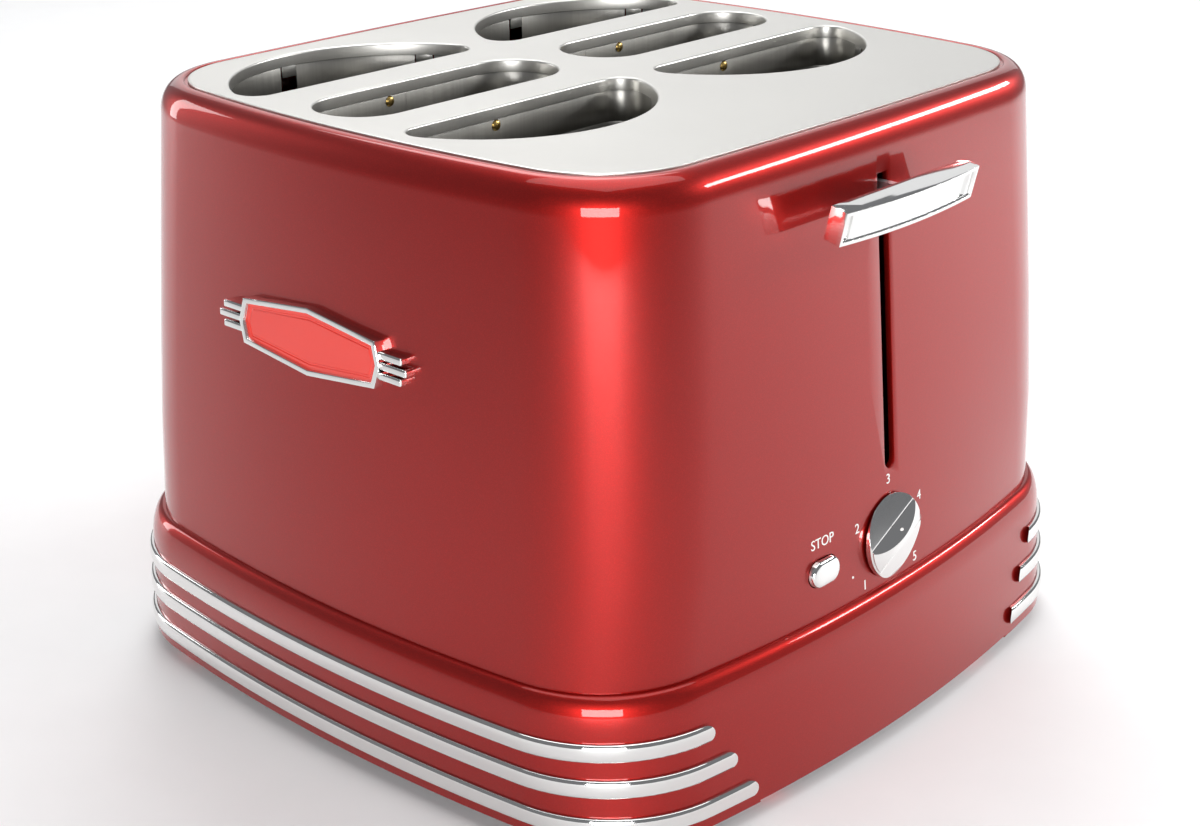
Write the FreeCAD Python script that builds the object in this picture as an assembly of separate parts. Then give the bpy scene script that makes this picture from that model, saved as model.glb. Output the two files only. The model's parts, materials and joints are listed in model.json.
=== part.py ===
import FreeCAD, Part
import math
import os

V = FreeCAD.Vector

# Pop-up toaster for six sausages-and-buns: four bun wells and two sausage wells
# under a steel top plate, in a tapered housing on a wider base.
# Millimetres. Origin at the bottom centre of the feet, +X out of the lever face,
# -Y out of the badge face, +Z up. "Front" is -Y, "left" is -X.

# Top plate
plate_top = 236.0
plate_sheet = 1.2
plate_half_x = 119.5
plate_half_y = 131.5
plate_bow_x = 3.0
plate_bow_y = 10.5
plate_corner = 38.0
plate_gap = 1.2
collar_depth = 3.5
collar_sheet = 0.8

# Food openings: straight slots for sausages, half-round ones for buns
row_y = 65.1
opening_half_length = 56.2
sausage_x = -21.3
sausage_width = 36.6
bun_left_chord = -59.1
bun_right_chord = 16.7
bun_depth = 49.2
bun_radius = 61.6
bun_tip = 8.5

# Housing
seam_z = 61.5
seam_half_x = 144.9
seam_half_y = 152.9
seam_bow_x = 17.3
seam_bow_y = 15.1
seam_corner = 51.2
housing_wall = 2.4
rim_width = 9.8
rim_proud = 1.0
rim_round = 1.0
shoulder_height = 12.8
shoulder_steps = 4
ledge_width = 4.0
ledge_thick = 2.4

# Base skirt
skirt_low = 2.5
skirt_panel_low = 4.5
skirt_panel_half = 82.0
skirt_wall = 2.4
skirt_bottom_half_x = 155.0
skirt_bottom_half_y = 157.2
skirt_bow_x = 18.0
skirt_bow_y = 15.5
skirt_corner = 54.0
skirt_shoulder_z = 48.0
skirt_shoulder_half_x = 150.3
skirt_shoulder_half_y = 157.9
skirt_seam_step = 0.5
skirt_steps = 3
flange_width = 12.0
flange_thick = 2.4
post_x = 70.0
post_inset_y = 12.7
post_half = 4.5

# Trim strips on the base
strip_height = 7.0
strip_proud = 1.7
strip_flat = 3.4
strip_edge = 0.5
upper_strip_z = 42.3
middle_strip_z = 28.6
lower_strip_z = 13.9
upper_strip_end = 102.5
middle_strip_end = 93.0
lower_strip_end = 84.0

# Badge on the front
badge_x = -4.0
badge_z = 162.0
badge_half_width = 37.6
badge_corner_x = 35.1
badge_half_height = 12.5
badge_corner_z = 8.5
badge_proud = 3.4
badge_border = 2.0
badge_inlay_depth = 1.2
badge_bar_end = 50.0
badge_bar_pitch = 3.6
badge_bar_thick = 2.0
badge_bar_proud = 2.4
badge_bar_tuck = 2.0
badge_root = 5.0

# Feet and underside
foot_radius = 9.0
foot_tip = 6.5
side_foot_inset_x = 17.0
side_foot_y = 66.0
end_foot_inset_x = 57.0
end_foot_inset_y = 19.2
pan_low = 6.0
pan_sheet = 2.0
pan_gap = 0.4
vent_length = 30.0
vent_width = 4.0
vent_pitch = 12.0
vent_count = 6
vent_gap = 6.0
pan_screw_radius = 1.8
pan_screw_head = 3.6
pan_screw_length = 14.0
frame_screw_radius = 2.0
frame_screw_head = 4.0
screw_head_height = 2.0

# Chassis plate and wells
chassis_sheet = 2.0
chassis_gap = 0.5
crumb_ledge = 3.0
crumb_hole_width = 36.0
crumb_hole_half = 32.0
well_sheet = 0.8
well_gap = 1.0
well_offset = 1.6
notch_width = 8.0
notch_depth = 10.8
tab_width = 7.0
tab_drop = 4.5
notch_angle = 54.0
window_low = 95.0
window_high = 205.0
window_half = 33.0
rivet_radius = 2.0
rivet_sides = 8
rivet_proud = 0.8
rivet_offset = 8.0
rivet_z = 228.8

# Lift mechanism
travel = 92.0
lift_rest_z = 172.0
lift_sheet = 1.0
lift_gap = 1.5
lift_half = 40.0
finger_count = 6
finger_width = 4.0
arm_thick = 2.0
arm_height = 8.0
arm_slot = 5.0
arm_slot_reach = 8.0
arm_slot_above = 3.0
bun_arm_from_chord = 16.0
spine_thick = 2.0
spine_height = 12.0
spine_drop = 2.0
spine_left = -80.0
frame_x = 74.0
frame_sheet = 1.5
frame_half_y = 70.0
frame_top = 226.0
frame_flange = 36.0
frame_foot = 24.0
frame_foot_margin = 8.0
frame_hem = 14.0
frame_slot = 8.0
frame_slot_margin = 3.0
frame_screw_inset_x = 6.0
frame_screw_inset_y = 8.0
rod_x = 92.5
rod_y = 20.0
rod_radius = 3.0
bush_gap = 0.05
bush_wall = 2.0
carriage_x = 84.0
carriage_sheet = 2.0
carriage_half_y = 26.0
carriage_low = 164.0
carriage_high = 214.0
ear_thick = 3.0
ear_reach = 98.5
upper_ear_low = 198.0
spring_x = 104.0
spring_y = -22.0
spring_radius = 4.0
spring_wire = 1.0
latch_x = 108.5
latch_y = -1.0
latch_z = 186.0
latch_plate_size = 14.0
latch_plate_thick = 2.0
latch_tab_thick = 2.0
core_radius = 4.0
coil_radius = 8.0
coil_height = 20.0
latch_air = 0.3

# Lever
lever_y = 3.0
lever_low = 205.5
lever_arm_thick = 3.0
lever_arm_height = 8.0
slot_width = 6.2
slot_bottom = 106.0
slot_above_arm = 3.0
handle_y = -4.8
handle_width = 80.5
handle_height = 12.4
handle_z = 211.1
handle_gap = 0.85
handle_depth = 4.4
handle_bow = 4.5
handle_lean = 13.0
handle_wall = 2.6
handle_end = 3.5
handle_bead = 1.2
handle_bead_end = 1.8
handle_recess = 0.8

# Elements
board_thick = 0.8
board_half = 48.0
board_high = 214.0
ribbon_count = 10
ribbon_low = 96.0
ribbon_high = 204.0
ribbon_thick = 0.4
ribbon_height = 3.0
ribbon_half = 44.0

# Controls on the lever face, seen from the wall at the knob's centre
knob_y = 1.5
knob_z = 80.0
knob_radius = 16.3
knob_standoff = 0.5
knob_disc = 1.4
knob_bar_half = 5.8
knob_crest_half = 0.9
knob_bar_edge = 0.2
knob_bar_middle = 5.2
knob_bar_angle = 24.0
shaft_radius = 3.0
shaft_hole_gap = 0.6
dial_radius = 11.0
dial_depth = 8.0
dial_gap = 0.05
dial_floor = 2.0
shaft_end_gap = 0.5
board_depth = 22.4
circuit_thick = 1.6
circuit_low = -13.0
circuit_high = 20.0
circuit_left = -62.0
circuit_right = 40.0
boss_radius = 3.0
boss_inset = 6.0
stop_y = -39.0
stop_z = 79.6
stop_length = 16.0
stop_height = 10.0
stop_proud = 2.2
stop_bevel = 1.0
stop_gap = 0.4
stop_travel = 2.5
stop_flange = 2.0
stop_flange_thick = 1.2
stop_flange_gap = 0.6
stop_stem = 2.0
stop_stem_end = -9.0
switch_size = 8.0
switch_air = 0.5

# Crumb tray and cord outlet
tray_half_y = 70.0
tray_low = 9.2
tray_height = 11.0
tray_sheet = 1.0
tray_right = 74.0
tray_front_depth = 15.0
tray_front_height = 13.0
tray_front_gap = 0.5
tray_notch_half = 20.0
tray_notch_height = 5.5
rail_sheet = 2.0
rail_gap = 0.4
tray_stop_gap = 2.0
cord_x = -60.0
cord_bush_width = 12.0
cord_bush_height = 6.4
cord_bush_proud = 2.0
cord_bush_inside = 10.0
cord_radius = 2.5
cord_notch_gap = 1.0

# Beyond the body on every side, for cuts that pass right through it
far = 1.5 * max(skirt_bottom_half_x, skirt_bottom_half_y)

out = "parts"
os.makedirs(out, exist_ok=True)


def save(name, shape):
    shape.exportStep(out + "/" + name + ".step")


def box(x0, x1, y0, y1, z0, z1):
    return Part.makeBox(x1 - x0, y1 - y0, z1 - z0, V(x0, y0, z0))


def rod(radius, base, axis, length):
    return Part.makeCylinder(radius, length, V(*base), V(*axis))


def joined(shapes):
    return shapes[0].fuse(shapes[1:]).removeSplitter()


def grouped(shapes):
    return Part.makeCompound(shapes)


def polygon_prism(points, direction):
    closed = points + points[:1]
    return Part.Face(Part.makePolygon([V(*p) for p in closed])).extrude(V(*direction))


def arc(x, y, radius, start, end, z):
    turns = (start, (start + end) / 2, end)
    points = [V(x + radius * math.cos(a), y + radius * math.sin(a), z) for a in turns]
    return Part.Arc(*points).toShape()


class Outline:
    # A closed plan outline: four bowed sides joined by four tangent corner arcs.

    def __init__(self, half_x, half_y, radius_x, radius_y, corner):
        self.half_x = half_x
        self.half_y = half_y
        self.radius_x = radius_x
        self.radius_y = radius_y
        self.corner = corner
        self.centre_x = half_x - radius_x
        self.centre_y = half_y - radius_y
        apart = math.hypot(self.centre_x, self.centre_y)
        reach_x = radius_x - corner
        reach_y = radius_y - corner
        along = (reach_x ** 2 - reach_y ** 2 + apart ** 2) / (2 * apart)
        across = math.sqrt(reach_x ** 2 - along ** 2)
        unit_x = -self.centre_x / apart
        unit_y = self.centre_y / apart
        self.corner_x = self.centre_x + unit_x * along - unit_y * across
        self.corner_y = unit_y * along + unit_x * across
        self.side_turn = math.atan2(self.corner_y, self.corner_x - self.centre_x)
        self.end_turn = math.atan2(self.corner_y - self.centre_y, self.corner_x)

    def grown(self, by):
        return Outline(self.half_x + by, self.half_y + by, self.radius_x + by,
                       self.radius_y + by, self.corner + by)

    def edge_y(self, x):
        return self.centre_y + math.sqrt(self.radius_y ** 2 - x ** 2)

    def wire(self, z):
        a = self.side_turn
        b = self.end_turn
        half = math.pi
        x = self.corner_x
        y = self.corner_y
        edges = [
            arc(self.centre_x, 0, self.radius_x, -a, a, z),
            arc(x, y, self.corner, a, b, z),
            arc(0, self.centre_y, self.radius_y, b, half - b, z),
            arc(-x, y, self.corner, half - b, half - a, z),
            arc(-self.centre_x, 0, self.radius_x, half - a, half + a, z),
            arc(-x, -y, self.corner, half + a, half + b, z),
            arc(0, -self.centre_y, self.radius_y, half + b, 2 * half - b, z),
            arc(x, -y, self.corner, -b, -a, z),
        ]
        return Part.Wire(edges)

    def solid(self, low, high):
        return Part.Face(self.wire(low)).extrude(V(0, 0, high - low))


def bowed(half_x, half_y, bow_x, bow_y, corner):
    radius_x = (half_y ** 2 + bow_x ** 2) / (2 * bow_x)
    radius_y = (half_x ** 2 + bow_y ** 2) / (2 * bow_y)
    return Outline(half_x, half_y, radius_x, radius_y, corner)


def between(first, second, share):
    def mix(name):
        return getattr(first, name) * (1 - share) + getattr(second, name) * share
    return Outline(mix("half_x"), mix("half_y"), mix("radius_x"), mix("radius_y"), mix("corner"))


def stacked(rings):
    return Part.makeLoft([outline.wire(z) for outline, z in rings], True, True)


class BunOutline:
    # A half-round opening: a straight chord, a large arc and two small tip arcs.

    def __init__(self, chord, side, middle_y):
        self.chord = chord
        self.side = side
        self.middle_y = middle_y
        self.arc_x = bun_depth - bun_radius
        self.tip_y = math.sqrt((bun_radius - bun_tip) ** 2 - (bun_tip - self.arc_x) ** 2)
        self.turn = math.atan2(self.tip_y, bun_tip - self.arc_x)
        self.arm_x = chord + side * bun_arm_from_chord

    def point(self, x, y, z):
        return V(self.chord + self.side * x, self.middle_y + y, z)

    def bend(self, x, y, radius, start, end, z):
        turns = (start, (start + end) / 2, end)
        points = [self.point(x + radius * math.cos(a), y + radius * math.sin(a), z) for a in turns]
        return Part.Arc(*points).toShape()

    def wire(self, grow, z):
        tip = bun_tip + grow
        edges = [
            self.bend(self.arc_x, 0, bun_radius + grow, -self.turn, self.turn, z),
            self.bend(bun_tip, self.tip_y, tip, self.turn, math.pi, z),
            Part.makeLine(self.point(-grow, self.tip_y, z), self.point(-grow, -self.tip_y, z)),
            self.bend(bun_tip, -self.tip_y, tip, math.pi, 2 * math.pi - self.turn, z),
        ]
        return Part.Wire(edges)

    def solid(self, grow, low, high):
        return Part.Face(self.wire(grow, low)).extrude(V(0, 0, high - low))

    def on_arc(self, shape, angle):
        # Takes a shape made at the big arc's middle, facing +X, round to an angle.
        turned = shape.copy()
        facing = angle if self.side > 0 else 180 - angle
        turned.rotate(V(0, 0, 0), V(0, 0, 1), facing)
        turned.translate(self.point(self.arc_x, 0, 0))
        return turned

    def tabs(self, width, inner, outer, low, high):
        piece = box(bun_radius + inner, bun_radius + outer, -width / 2, width / 2, low, high)
        return [self.on_arc(piece, angle) for angle in (-notch_angle, 0, notch_angle)]

    def crumb_hole(self):
        near = self.chord + self.side * crumb_ledge
        far = self.chord + self.side * crumb_hole_width
        return box(min(near, far), max(near, far), self.middle_y - crumb_hole_half,
                   self.middle_y + crumb_hole_half, seam_z - 1, chassis_top + 1)

    def window(self):
        reach = well_offset + 2 * well_sheet
        return box(self.chord - reach, self.chord + reach, self.middle_y - window_half,
                   self.middle_y + window_half, window_low, window_high)


class SausageOutline:
    # A straight opening with full round ends.

    def __init__(self, middle_x, middle_y):
        self.middle_x = middle_x
        self.middle_y = middle_y
        self.arm_x = middle_x

    def wire(self, grow, z):
        radius = sausage_width / 2 + grow
        straight = opening_half_length - sausage_width / 2
        x = self.middle_x
        low = self.middle_y - straight
        high = self.middle_y + straight
        edges = [
            arc(x, high, radius, 0, math.pi, z),
            Part.makeLine(V(x - radius, high, z), V(x - radius, low, z)),
            arc(x, low, radius, math.pi, 2 * math.pi, z),
            Part.makeLine(V(x + radius, low, z), V(x + radius, high, z)),
        ]
        return Part.Wire(edges)

    def solid(self, grow, low, high):
        return Part.Face(self.wire(grow, low)).extrude(V(0, 0, high - low))

    def tabs(self, width, inner, outer, low, high):
        return []

    def crumb_hole(self):
        half = sausage_width / 2 - crumb_ledge
        return box(self.middle_x - half, self.middle_x + half, self.middle_y - crumb_hole_half,
                   self.middle_y + crumb_hole_half, seam_z - 1, chassis_top + 1)

    def window(self):
        reach = sausage_width / 2 + well_offset + 2 * well_sheet
        return box(self.middle_x - reach, self.middle_x + reach, self.middle_y - window_half,
                   self.middle_y + window_half, window_low, window_high)


bun_openings = {
    "front_left": BunOutline(bun_left_chord, -1, -row_y),
    "front_right": BunOutline(bun_right_chord, 1, -row_y),
    "back_left": BunOutline(bun_left_chord, -1, row_y),
    "back_right": BunOutline(bun_right_chord, 1, row_y),
}
sausage_openings = {
    "front": SausageOutline(sausage_x, -row_y),
    "back": SausageOutline(sausage_x, row_y),
}
openings = list(bun_openings.values()) + list(sausage_openings.values())

plate_outline = bowed(plate_half_x, plate_half_y, plate_bow_x, plate_bow_y, plate_corner)
rim_outline = plate_outline.grown(plate_gap)
housing_top = rim_outline.grown(rim_width)
housing_seam = bowed(seam_half_x, seam_half_y, seam_bow_x, seam_bow_y, seam_corner)
rim_top = plate_top + rim_proud
shoulder_z = rim_top - shoulder_height
plate_under = plate_top - plate_sheet
collar_low = plate_under - collar_depth
well_top = plate_under - ledge_thick - well_gap
chassis_top = seam_z + chassis_sheet


def quarter_rings(inner, outer, low, high, steps):
    # Rings along a quarter ellipse, from the outer outline up and in to the inner one.
    rings = []
    for step in range(steps + 1):
        turn = math.pi / 2 * step / steps
        rings.append((between(inner, outer, math.cos(turn)), low + (high - low) * math.sin(turn)))
    return rings


def housing_block():
    # The tapered housing with its rolled shoulder.
    shoulder = quarter_rings(rim_outline.grown(rim_round), housing_top, shoulder_z, rim_top,
                             shoulder_steps)
    return stacked([(housing_seam, seam_z)] + shoulder)


def housing_inside(inset):
    # The room inside the housing's walls, up to the ledge that carries the top plate.
    return stacked([(housing_seam.grown(-inset), seam_z), (housing_top.grown(-inset), shoulder_z),
                    (housing_top.grown(-2 * inset), plate_under - ledge_thick)])


housing_flare = math.degrees(math.atan((seam_half_x - housing_top.half_x) / (shoulder_z - seam_z)))
front_flare = math.degrees(math.atan((seam_half_y - housing_top.half_y) / (shoulder_z - seam_z)))


def housing_at(z):
    return between(housing_seam, housing_top, (z - seam_z) / (shoulder_z - seam_z))


knob_wall_x = housing_at(knob_z).half_x
badge_wall_y = housing_at(badge_z).half_y
handle_low = handle_z - handle_height / 2
handle_back_x = max(housing_at(z).half_x for z in (handle_low, handle_low - travel)) + handle_gap
tray_left = tray_front_depth - skirt_bottom_half_x
post_y = skirt_bottom_half_y - post_inset_y


def on_panel(shape):
    # From panel coordinates (x out of the wall, y, z up the wall from the knob) to the part's.
    placed = shape.copy()
    placed.rotate(V(0, 0, 0), V(0, 1, 0), -housing_flare)
    placed.translate(V(knob_wall_x, 0, knob_z))
    return placed


def on_front(shape):
    # From badge coordinates (x, -y out of the wall, z up the wall) to the part's.
    placed = shape.copy()
    placed.rotate(V(0, 0, 0), V(1, 0, 0), -front_flare)
    placed.translate(V(badge_x, -badge_wall_y, badge_z))
    return placed


def oval_prism(length, height, y, z, x0, x1):
    radius = height / 2
    straight = length / 2 - radius
    edges = [
        Part.makeLine(V(x0, y - straight, z - radius), V(x0, y + straight, z - radius)),
        Part.Arc(V(x0, y + straight, z - radius), V(x0, y + straight + radius, z),
                 V(x0, y + straight, z + radius)).toShape(),
        Part.makeLine(V(x0, y + straight, z + radius), V(x0, y - straight, z + radius)),
        Part.Arc(V(x0, y - straight, z + radius), V(x0, y - straight - radius, z),
                 V(x0, y - straight, z - radius)).toShape(),
    ]
    return Part.Face(Part.Wire(edges)).extrude(V(x1 - x0, 0, 0))


circuit_front = -board_depth
stop_panel_z = stop_z - knob_z
boss_places = [(y, z) for y in (circuit_left + boss_inset, circuit_right - boss_inset)
               for z in (circuit_low + boss_inset, circuit_high - boss_inset)]
wall_cut = 4 * housing_wall


def make_housing():
    shell = housing_solid.cut(housing_inside(housing_wall))
    shell = shell.cut(rim_outline.solid(plate_under, rim_top + 1))
    shell = shell.cut(plate_outline.grown(-ledge_width).solid(plate_under - 2 * ledge_thick, rim_top))
    arm_high = lever_low + lever_arm_height
    slot = box(0, far, lever_y - slot_width / 2, lever_y + slot_width / 2,
               slot_bottom + slot_width / 2, arm_high + slot_above_arm)
    slot_end = rod(slot_width / 2, (0, lever_y, slot_bottom + slot_width / 2), (1, 0, 0), far)
    shell = shell.cut([slot, slot_end])
    bosses = []
    for y, z in boss_places:
        reach = board_depth - housing_wall / 2
        bosses.append(on_panel(rod(boss_radius, (circuit_front, y, z), (1, 0, 0), reach)))
    room = housing_inside(housing_wall / 2)
    shell = joined([shell] + [boss.common(room) for boss in bosses])
    shaft_hole = on_panel(rod(shaft_radius + shaft_hole_gap, (-wall_cut, knob_y, 0), (1, 0, 0),
                              2 * wall_cut))
    stop_hole = on_panel(oval_prism(stop_length + 2 * stop_gap, stop_height + 2 * stop_gap,
                                    stop_y, stop_panel_z, -wall_cut, wall_cut))
    return shell.cut([shaft_hole, stop_hole])


def make_plate():
    sheet = plate_outline.solid(plate_under, plate_top)
    sheet = sheet.cut([o.solid(0, plate_under - 1, plate_top + 1) for o in openings])
    parts = [sheet]
    for opening in openings:
        outer = opening.solid(collar_sheet, collar_low, plate_under)
        parts.append(outer.cut(opening.solid(0, collar_low - 1, plate_under + 1)))
        parts += opening.tabs(tab_width, 0, collar_sheet, collar_low - tab_drop, collar_low)
    return joined(parts)


skirt_bottom = bowed(skirt_bottom_half_x, skirt_bottom_half_y, skirt_bow_x, skirt_bow_y, skirt_corner)
skirt_shoulder = bowed(skirt_shoulder_half_x, skirt_shoulder_half_y, skirt_bow_x, skirt_bow_y,
                       skirt_corner)
skirt_top = housing_seam.grown(skirt_seam_step)
flange_under = seam_z - flange_thick
cord_wall_y = skirt_bottom.edge_y(cord_x)


def skirt_at(z):
    return between(skirt_bottom, skirt_shoulder, (z - skirt_low) / (skirt_shoulder_z - skirt_low))


def skirt_block():
    shoulder = quarter_rings(skirt_top, skirt_shoulder, skirt_shoulder_z, seam_z, skirt_steps)
    return stacked([(skirt_bottom, skirt_low)] + shoulder)


def tray_opening(gap):
    return box(-far, tray_left, -tray_half_y - gap, tray_half_y + gap,
               tray_low - gap, tray_low + tray_front_height + gap)


def skirt_cavity():
    inner_low = skirt_bottom.grown(-skirt_wall)
    inner_high = skirt_shoulder.grown(-skirt_wall)
    inner_top = skirt_top.grown(-skirt_seam_step)
    return stacked([(inner_low, skirt_low), (inner_high, skirt_shoulder_z),
                    (inner_top, flange_under)])


def make_skirt(block):
    skirt = block.cut(skirt_cavity())
    skirt = skirt.cut(housing_seam.grown(-flange_width).solid(flange_under - 1, seam_z + 1))
    panel = box(-far, far, -skirt_panel_half, skirt_panel_half, 0, skirt_panel_low)
    skirt = skirt.cut(panel)
    posts = []
    for side_x in (-1, 1):
        for side_y in (-1, 1):
            x = side_x * post_x
            y = side_y * post_y
            inner_y = y - side_y * post_half
            outer_y = side_y * far
            post = box(x - post_half, x + post_half, min(inner_y, outer_y), max(inner_y, outer_y),
                       pan_low + pan_sheet, flange_under)
            posts.append(post.common(block))
    skirt = joined([skirt] + posts)
    skirt = skirt.cut([screw_shank(x, y) for x, y in post_places()])
    notch = box(cord_x - cord_bush_width / 2, cord_x + cord_bush_width / 2,
                cord_wall_y - cord_bush_inside, far, 0, skirt_low + cord_bush_height)
    return skirt.cut([tray_opening(tray_front_gap), notch])


def post_places():
    return [(x, y) for x in (-post_x, post_x) for y in (-post_y, post_y)]


def screw_shank(x, y):
    return rod(pan_screw_radius, (x, y, pan_low), (0, 0, 1), pan_screw_length)


def make_strip(z, end_y, block, back):
    # A bar with bevelled edges that follows the skirt round both corners to end_y.
    outline = skirt_at(z)
    half = strip_height / 2
    flat = strip_flat / 2
    levels = ((-half, strip_edge), (-flat, strip_proud), (flat, strip_proud), (half, strip_edge))
    bar = stacked([(outline.grown(out), z + up) for up, out in levels])
    ends = [
        box(-far, far, -far, -end_y - half, z - half, z + half),
        rod(half, (-far, -end_y - half, z), (1, 0, 0), 2 * far),
    ]
    bar = bar.common(joined(ends)).cut(block)
    return bar.mirror(V(0, 0, 0), V(0, 1, 0)) if back else bar


def badge_prism(inset, back, proud):
    share = (badge_half_width - inset) / badge_half_width
    points = [
        (-badge_half_width, 0), (-badge_corner_x, badge_corner_z), (0, badge_half_height),
        (badge_corner_x, badge_corner_z), (badge_half_width, 0), (badge_corner_x, -badge_corner_z),
        (0, -badge_half_height), (-badge_corner_x, -badge_corner_z),
    ]
    scale_z = (badge_half_height - inset) / badge_half_height
    points = [(x * share, -back, z * scale_z) for x, z in points]
    return polygon_prism(points, (0, -(proud - back), 0))


def make_badge(block):
    frame = badge_prism(0, -badge_root, badge_proud).cut(
        badge_prism(badge_border, -badge_root - 1, badge_proud + 1))
    plate = badge_prism(badge_border, -badge_root, badge_proud - badge_inlay_depth)
    bars = []
    inner = badge_corner_x - badge_bar_tuck
    for side in (-1, 1):
        for row in (-1, 0, 1):
            z = row * badge_bar_pitch
            start = side * inner
            length = badge_bar_end - inner
            bar = box(min(start, start + side * length), max(start, start + side * length),
                      -badge_bar_proud, badge_root, z - badge_bar_thick / 2,
                      z + badge_bar_thick / 2)
            bars.append(bar)
    clear = on_front(badge_prism(0, -2 * badge_root, badge_proud + 1))
    bars = [on_front(bar).cut([block, clear]) for bar in bars]
    return on_front(frame).cut(block), on_front(plate).cut(block), grouped(bars)


def make_feet():
    feet = []
    side_foot = (skirt_bottom_half_x - side_foot_inset_x, side_foot_y)
    end_foot = (skirt_bottom_half_x - end_foot_inset_x, skirt_bottom_half_y - end_foot_inset_y)
    for x, y in (side_foot, end_foot):
        for side_x in (-1, 1):
            for side_y in (-1, 1):
                feet.append(Part.makeCone(foot_tip, foot_radius, pan_low,
                                          V(side_x * x, side_y * y, 0)))
    return grouped(feet)


def make_pan():
    outline = skirt_at(pan_low).grown(-skirt_wall - pan_gap)
    pan = outline.solid(pan_low, pan_low + pan_sheet)
    rails = []
    stop_x = tray_right + tray_stop_gap
    for side in (-1, 1):
        inner = side * (tray_half_y + rail_gap)
        outer = inner + side * rail_sheet
        rails.append(box(tray_left, stop_x + rail_sheet, min(inner, outer), max(inner, outer),
                         pan_low + pan_sheet, tray_low + tray_height))
    stop_wall = box(stop_x, stop_x + rail_sheet, -tray_half_y - rail_gap, tray_half_y + rail_gap,
                    pan_low + pan_sheet, tray_low + tray_height)
    pan = joined([pan, stop_wall] + rails)
    vents = []
    for step in range(vent_count):
        x = (step - (vent_count - 1) / 2) * vent_pitch
        for side in (-1, 1):
            middle = side * (tray_half_y + rail_gap + rail_sheet + vent_gap + vent_length / 2)
            vents.append(box(x - vent_width / 2, x + vent_width / 2, middle - vent_length / 2,
                             middle + vent_length / 2, pan_low - 1, pan_low + pan_sheet + 1))
    pan = pan.cut(vents)
    pan = pan.cut([screw_shank(x, y) for x, y in post_places()])
    half = cord_bush_width / 2 + cord_notch_gap
    notch = box(cord_x - half, cord_x + half, cord_wall_y - cord_bush_inside - cord_notch_gap, far,
                0, tray_low)
    return pan.cut(notch)


def hexagon(radius, x, y, low):
    turns = [math.pi / 3 * step for step in range(6)]
    points = [(x + radius * math.cos(a), y + radius * math.sin(a), low) for a in turns]
    return polygon_prism(points, (0, 0, screw_head_height))


def make_pan_screws():
    screws = []
    for x, y in post_places():
        head = hexagon(pan_screw_head, x, y, pan_low - screw_head_height)
        screws.append(head.fuse(screw_shank(x, y)).removeSplitter())
    return grouped(screws)


def make_chassis():
    outline = housing_seam.grown(-housing_wall - chassis_gap)
    plate = outline.solid(seam_z, chassis_top)
    holes = [o.crumb_hole() for o in openings]
    holes += [screw_hole(x, y) for x, y in frame_screw_places()]
    return plate.cut(holes)


def frame_screw_places():
    x = frame_x + frame_sheet + frame_screw_inset_x
    y = frame_half_y - frame_screw_inset_y
    return [(x, -y), (x, y)]


def screw_hole(x, y):
    return rod(frame_screw_radius, (x, y, seam_z - 1), (0, 0, 1), frame_sheet + chassis_sheet + 1)


def make_frame_screws():
    screws = []
    for x, y in frame_screw_places():
        shank = rod(frame_screw_radius, (x, y, seam_z), (0, 0, 1), chassis_sheet + frame_sheet)
        head = hexagon(frame_screw_head, x, y, chassis_top + frame_sheet)
        screws.append(shank.fuse(head).removeSplitter())
    return grouped(screws)


def make_well(opening):
    outer = well_offset + well_sheet
    well = opening.solid(outer, chassis_top, well_top)
    well = well.cut(opening.solid(well_offset, chassis_top - 1, well_top + 1))
    cuts = opening.tabs(notch_width, 0, outer + well_sheet, well_top - notch_depth, well_top + 1)
    cuts.append(opening.window())
    inner_y = math.copysign(opening_half_length, -opening.middle_y) + opening.middle_y
    cuts.append(box(opening.arm_x - arm_slot / 2, opening.arm_x + arm_slot / 2,
                    inner_y - arm_slot_reach, inner_y + arm_slot_reach, chassis_top - 1,
                    lift_rest_z + lift_sheet + arm_slot_above))
    return well.cut(cuts).removeSplitter()


def make_lift(opening):
    # A rack: an arm from the spine with flat fingers across it, trimmed to the well.
    side = math.copysign(1, opening.middle_y)
    inner = side * spine_thick / 2
    outer = opening.middle_y + side * lift_half
    arm = box(opening.arm_x - arm_thick / 2, opening.arm_x + arm_thick / 2,
              min(inner, outer), max(inner, outer), lift_rest_z - arm_height, lift_rest_z)
    room = opening.solid(-lift_gap, lift_rest_z, lift_rest_z + lift_sheet)
    fingers = []
    for step in range(finger_count):
        y = opening.middle_y + (2 * step / (finger_count - 1) - 1) * lift_half
        fingers.append(box(opening.arm_x - bun_radius, opening.arm_x + bun_radius, y - finger_width / 2,
                           y + finger_width / 2, lift_rest_z, lift_rest_z + lift_sheet))
    rail = box(opening.arm_x - arm_thick / 2, opening.arm_x + arm_thick / 2,
               opening.middle_y - lift_half, opening.middle_y + lift_half,
               lift_rest_z, lift_rest_z + lift_sheet)
    return joined([arm, rail] + [finger.common(room) for finger in fingers])


spine_low = lift_rest_z - arm_height - spine_drop


def make_spine():
    return box(spine_left, carriage_x, -spine_thick / 2, spine_thick / 2, spine_low,
               spine_low + spine_height)


bush_radius = rod_radius + bush_gap + bush_wall
rod_places = [(rod_x, -rod_y), (rod_x, rod_y)]
frame_back = frame_x + frame_sheet
rod_low = chassis_top + frame_sheet
rod_high = frame_top - frame_sheet
tab_high = latch_z + latch_plate_thick + latch_tab_thick
ear_levels = [carriage_low, upper_ear_low]


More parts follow.
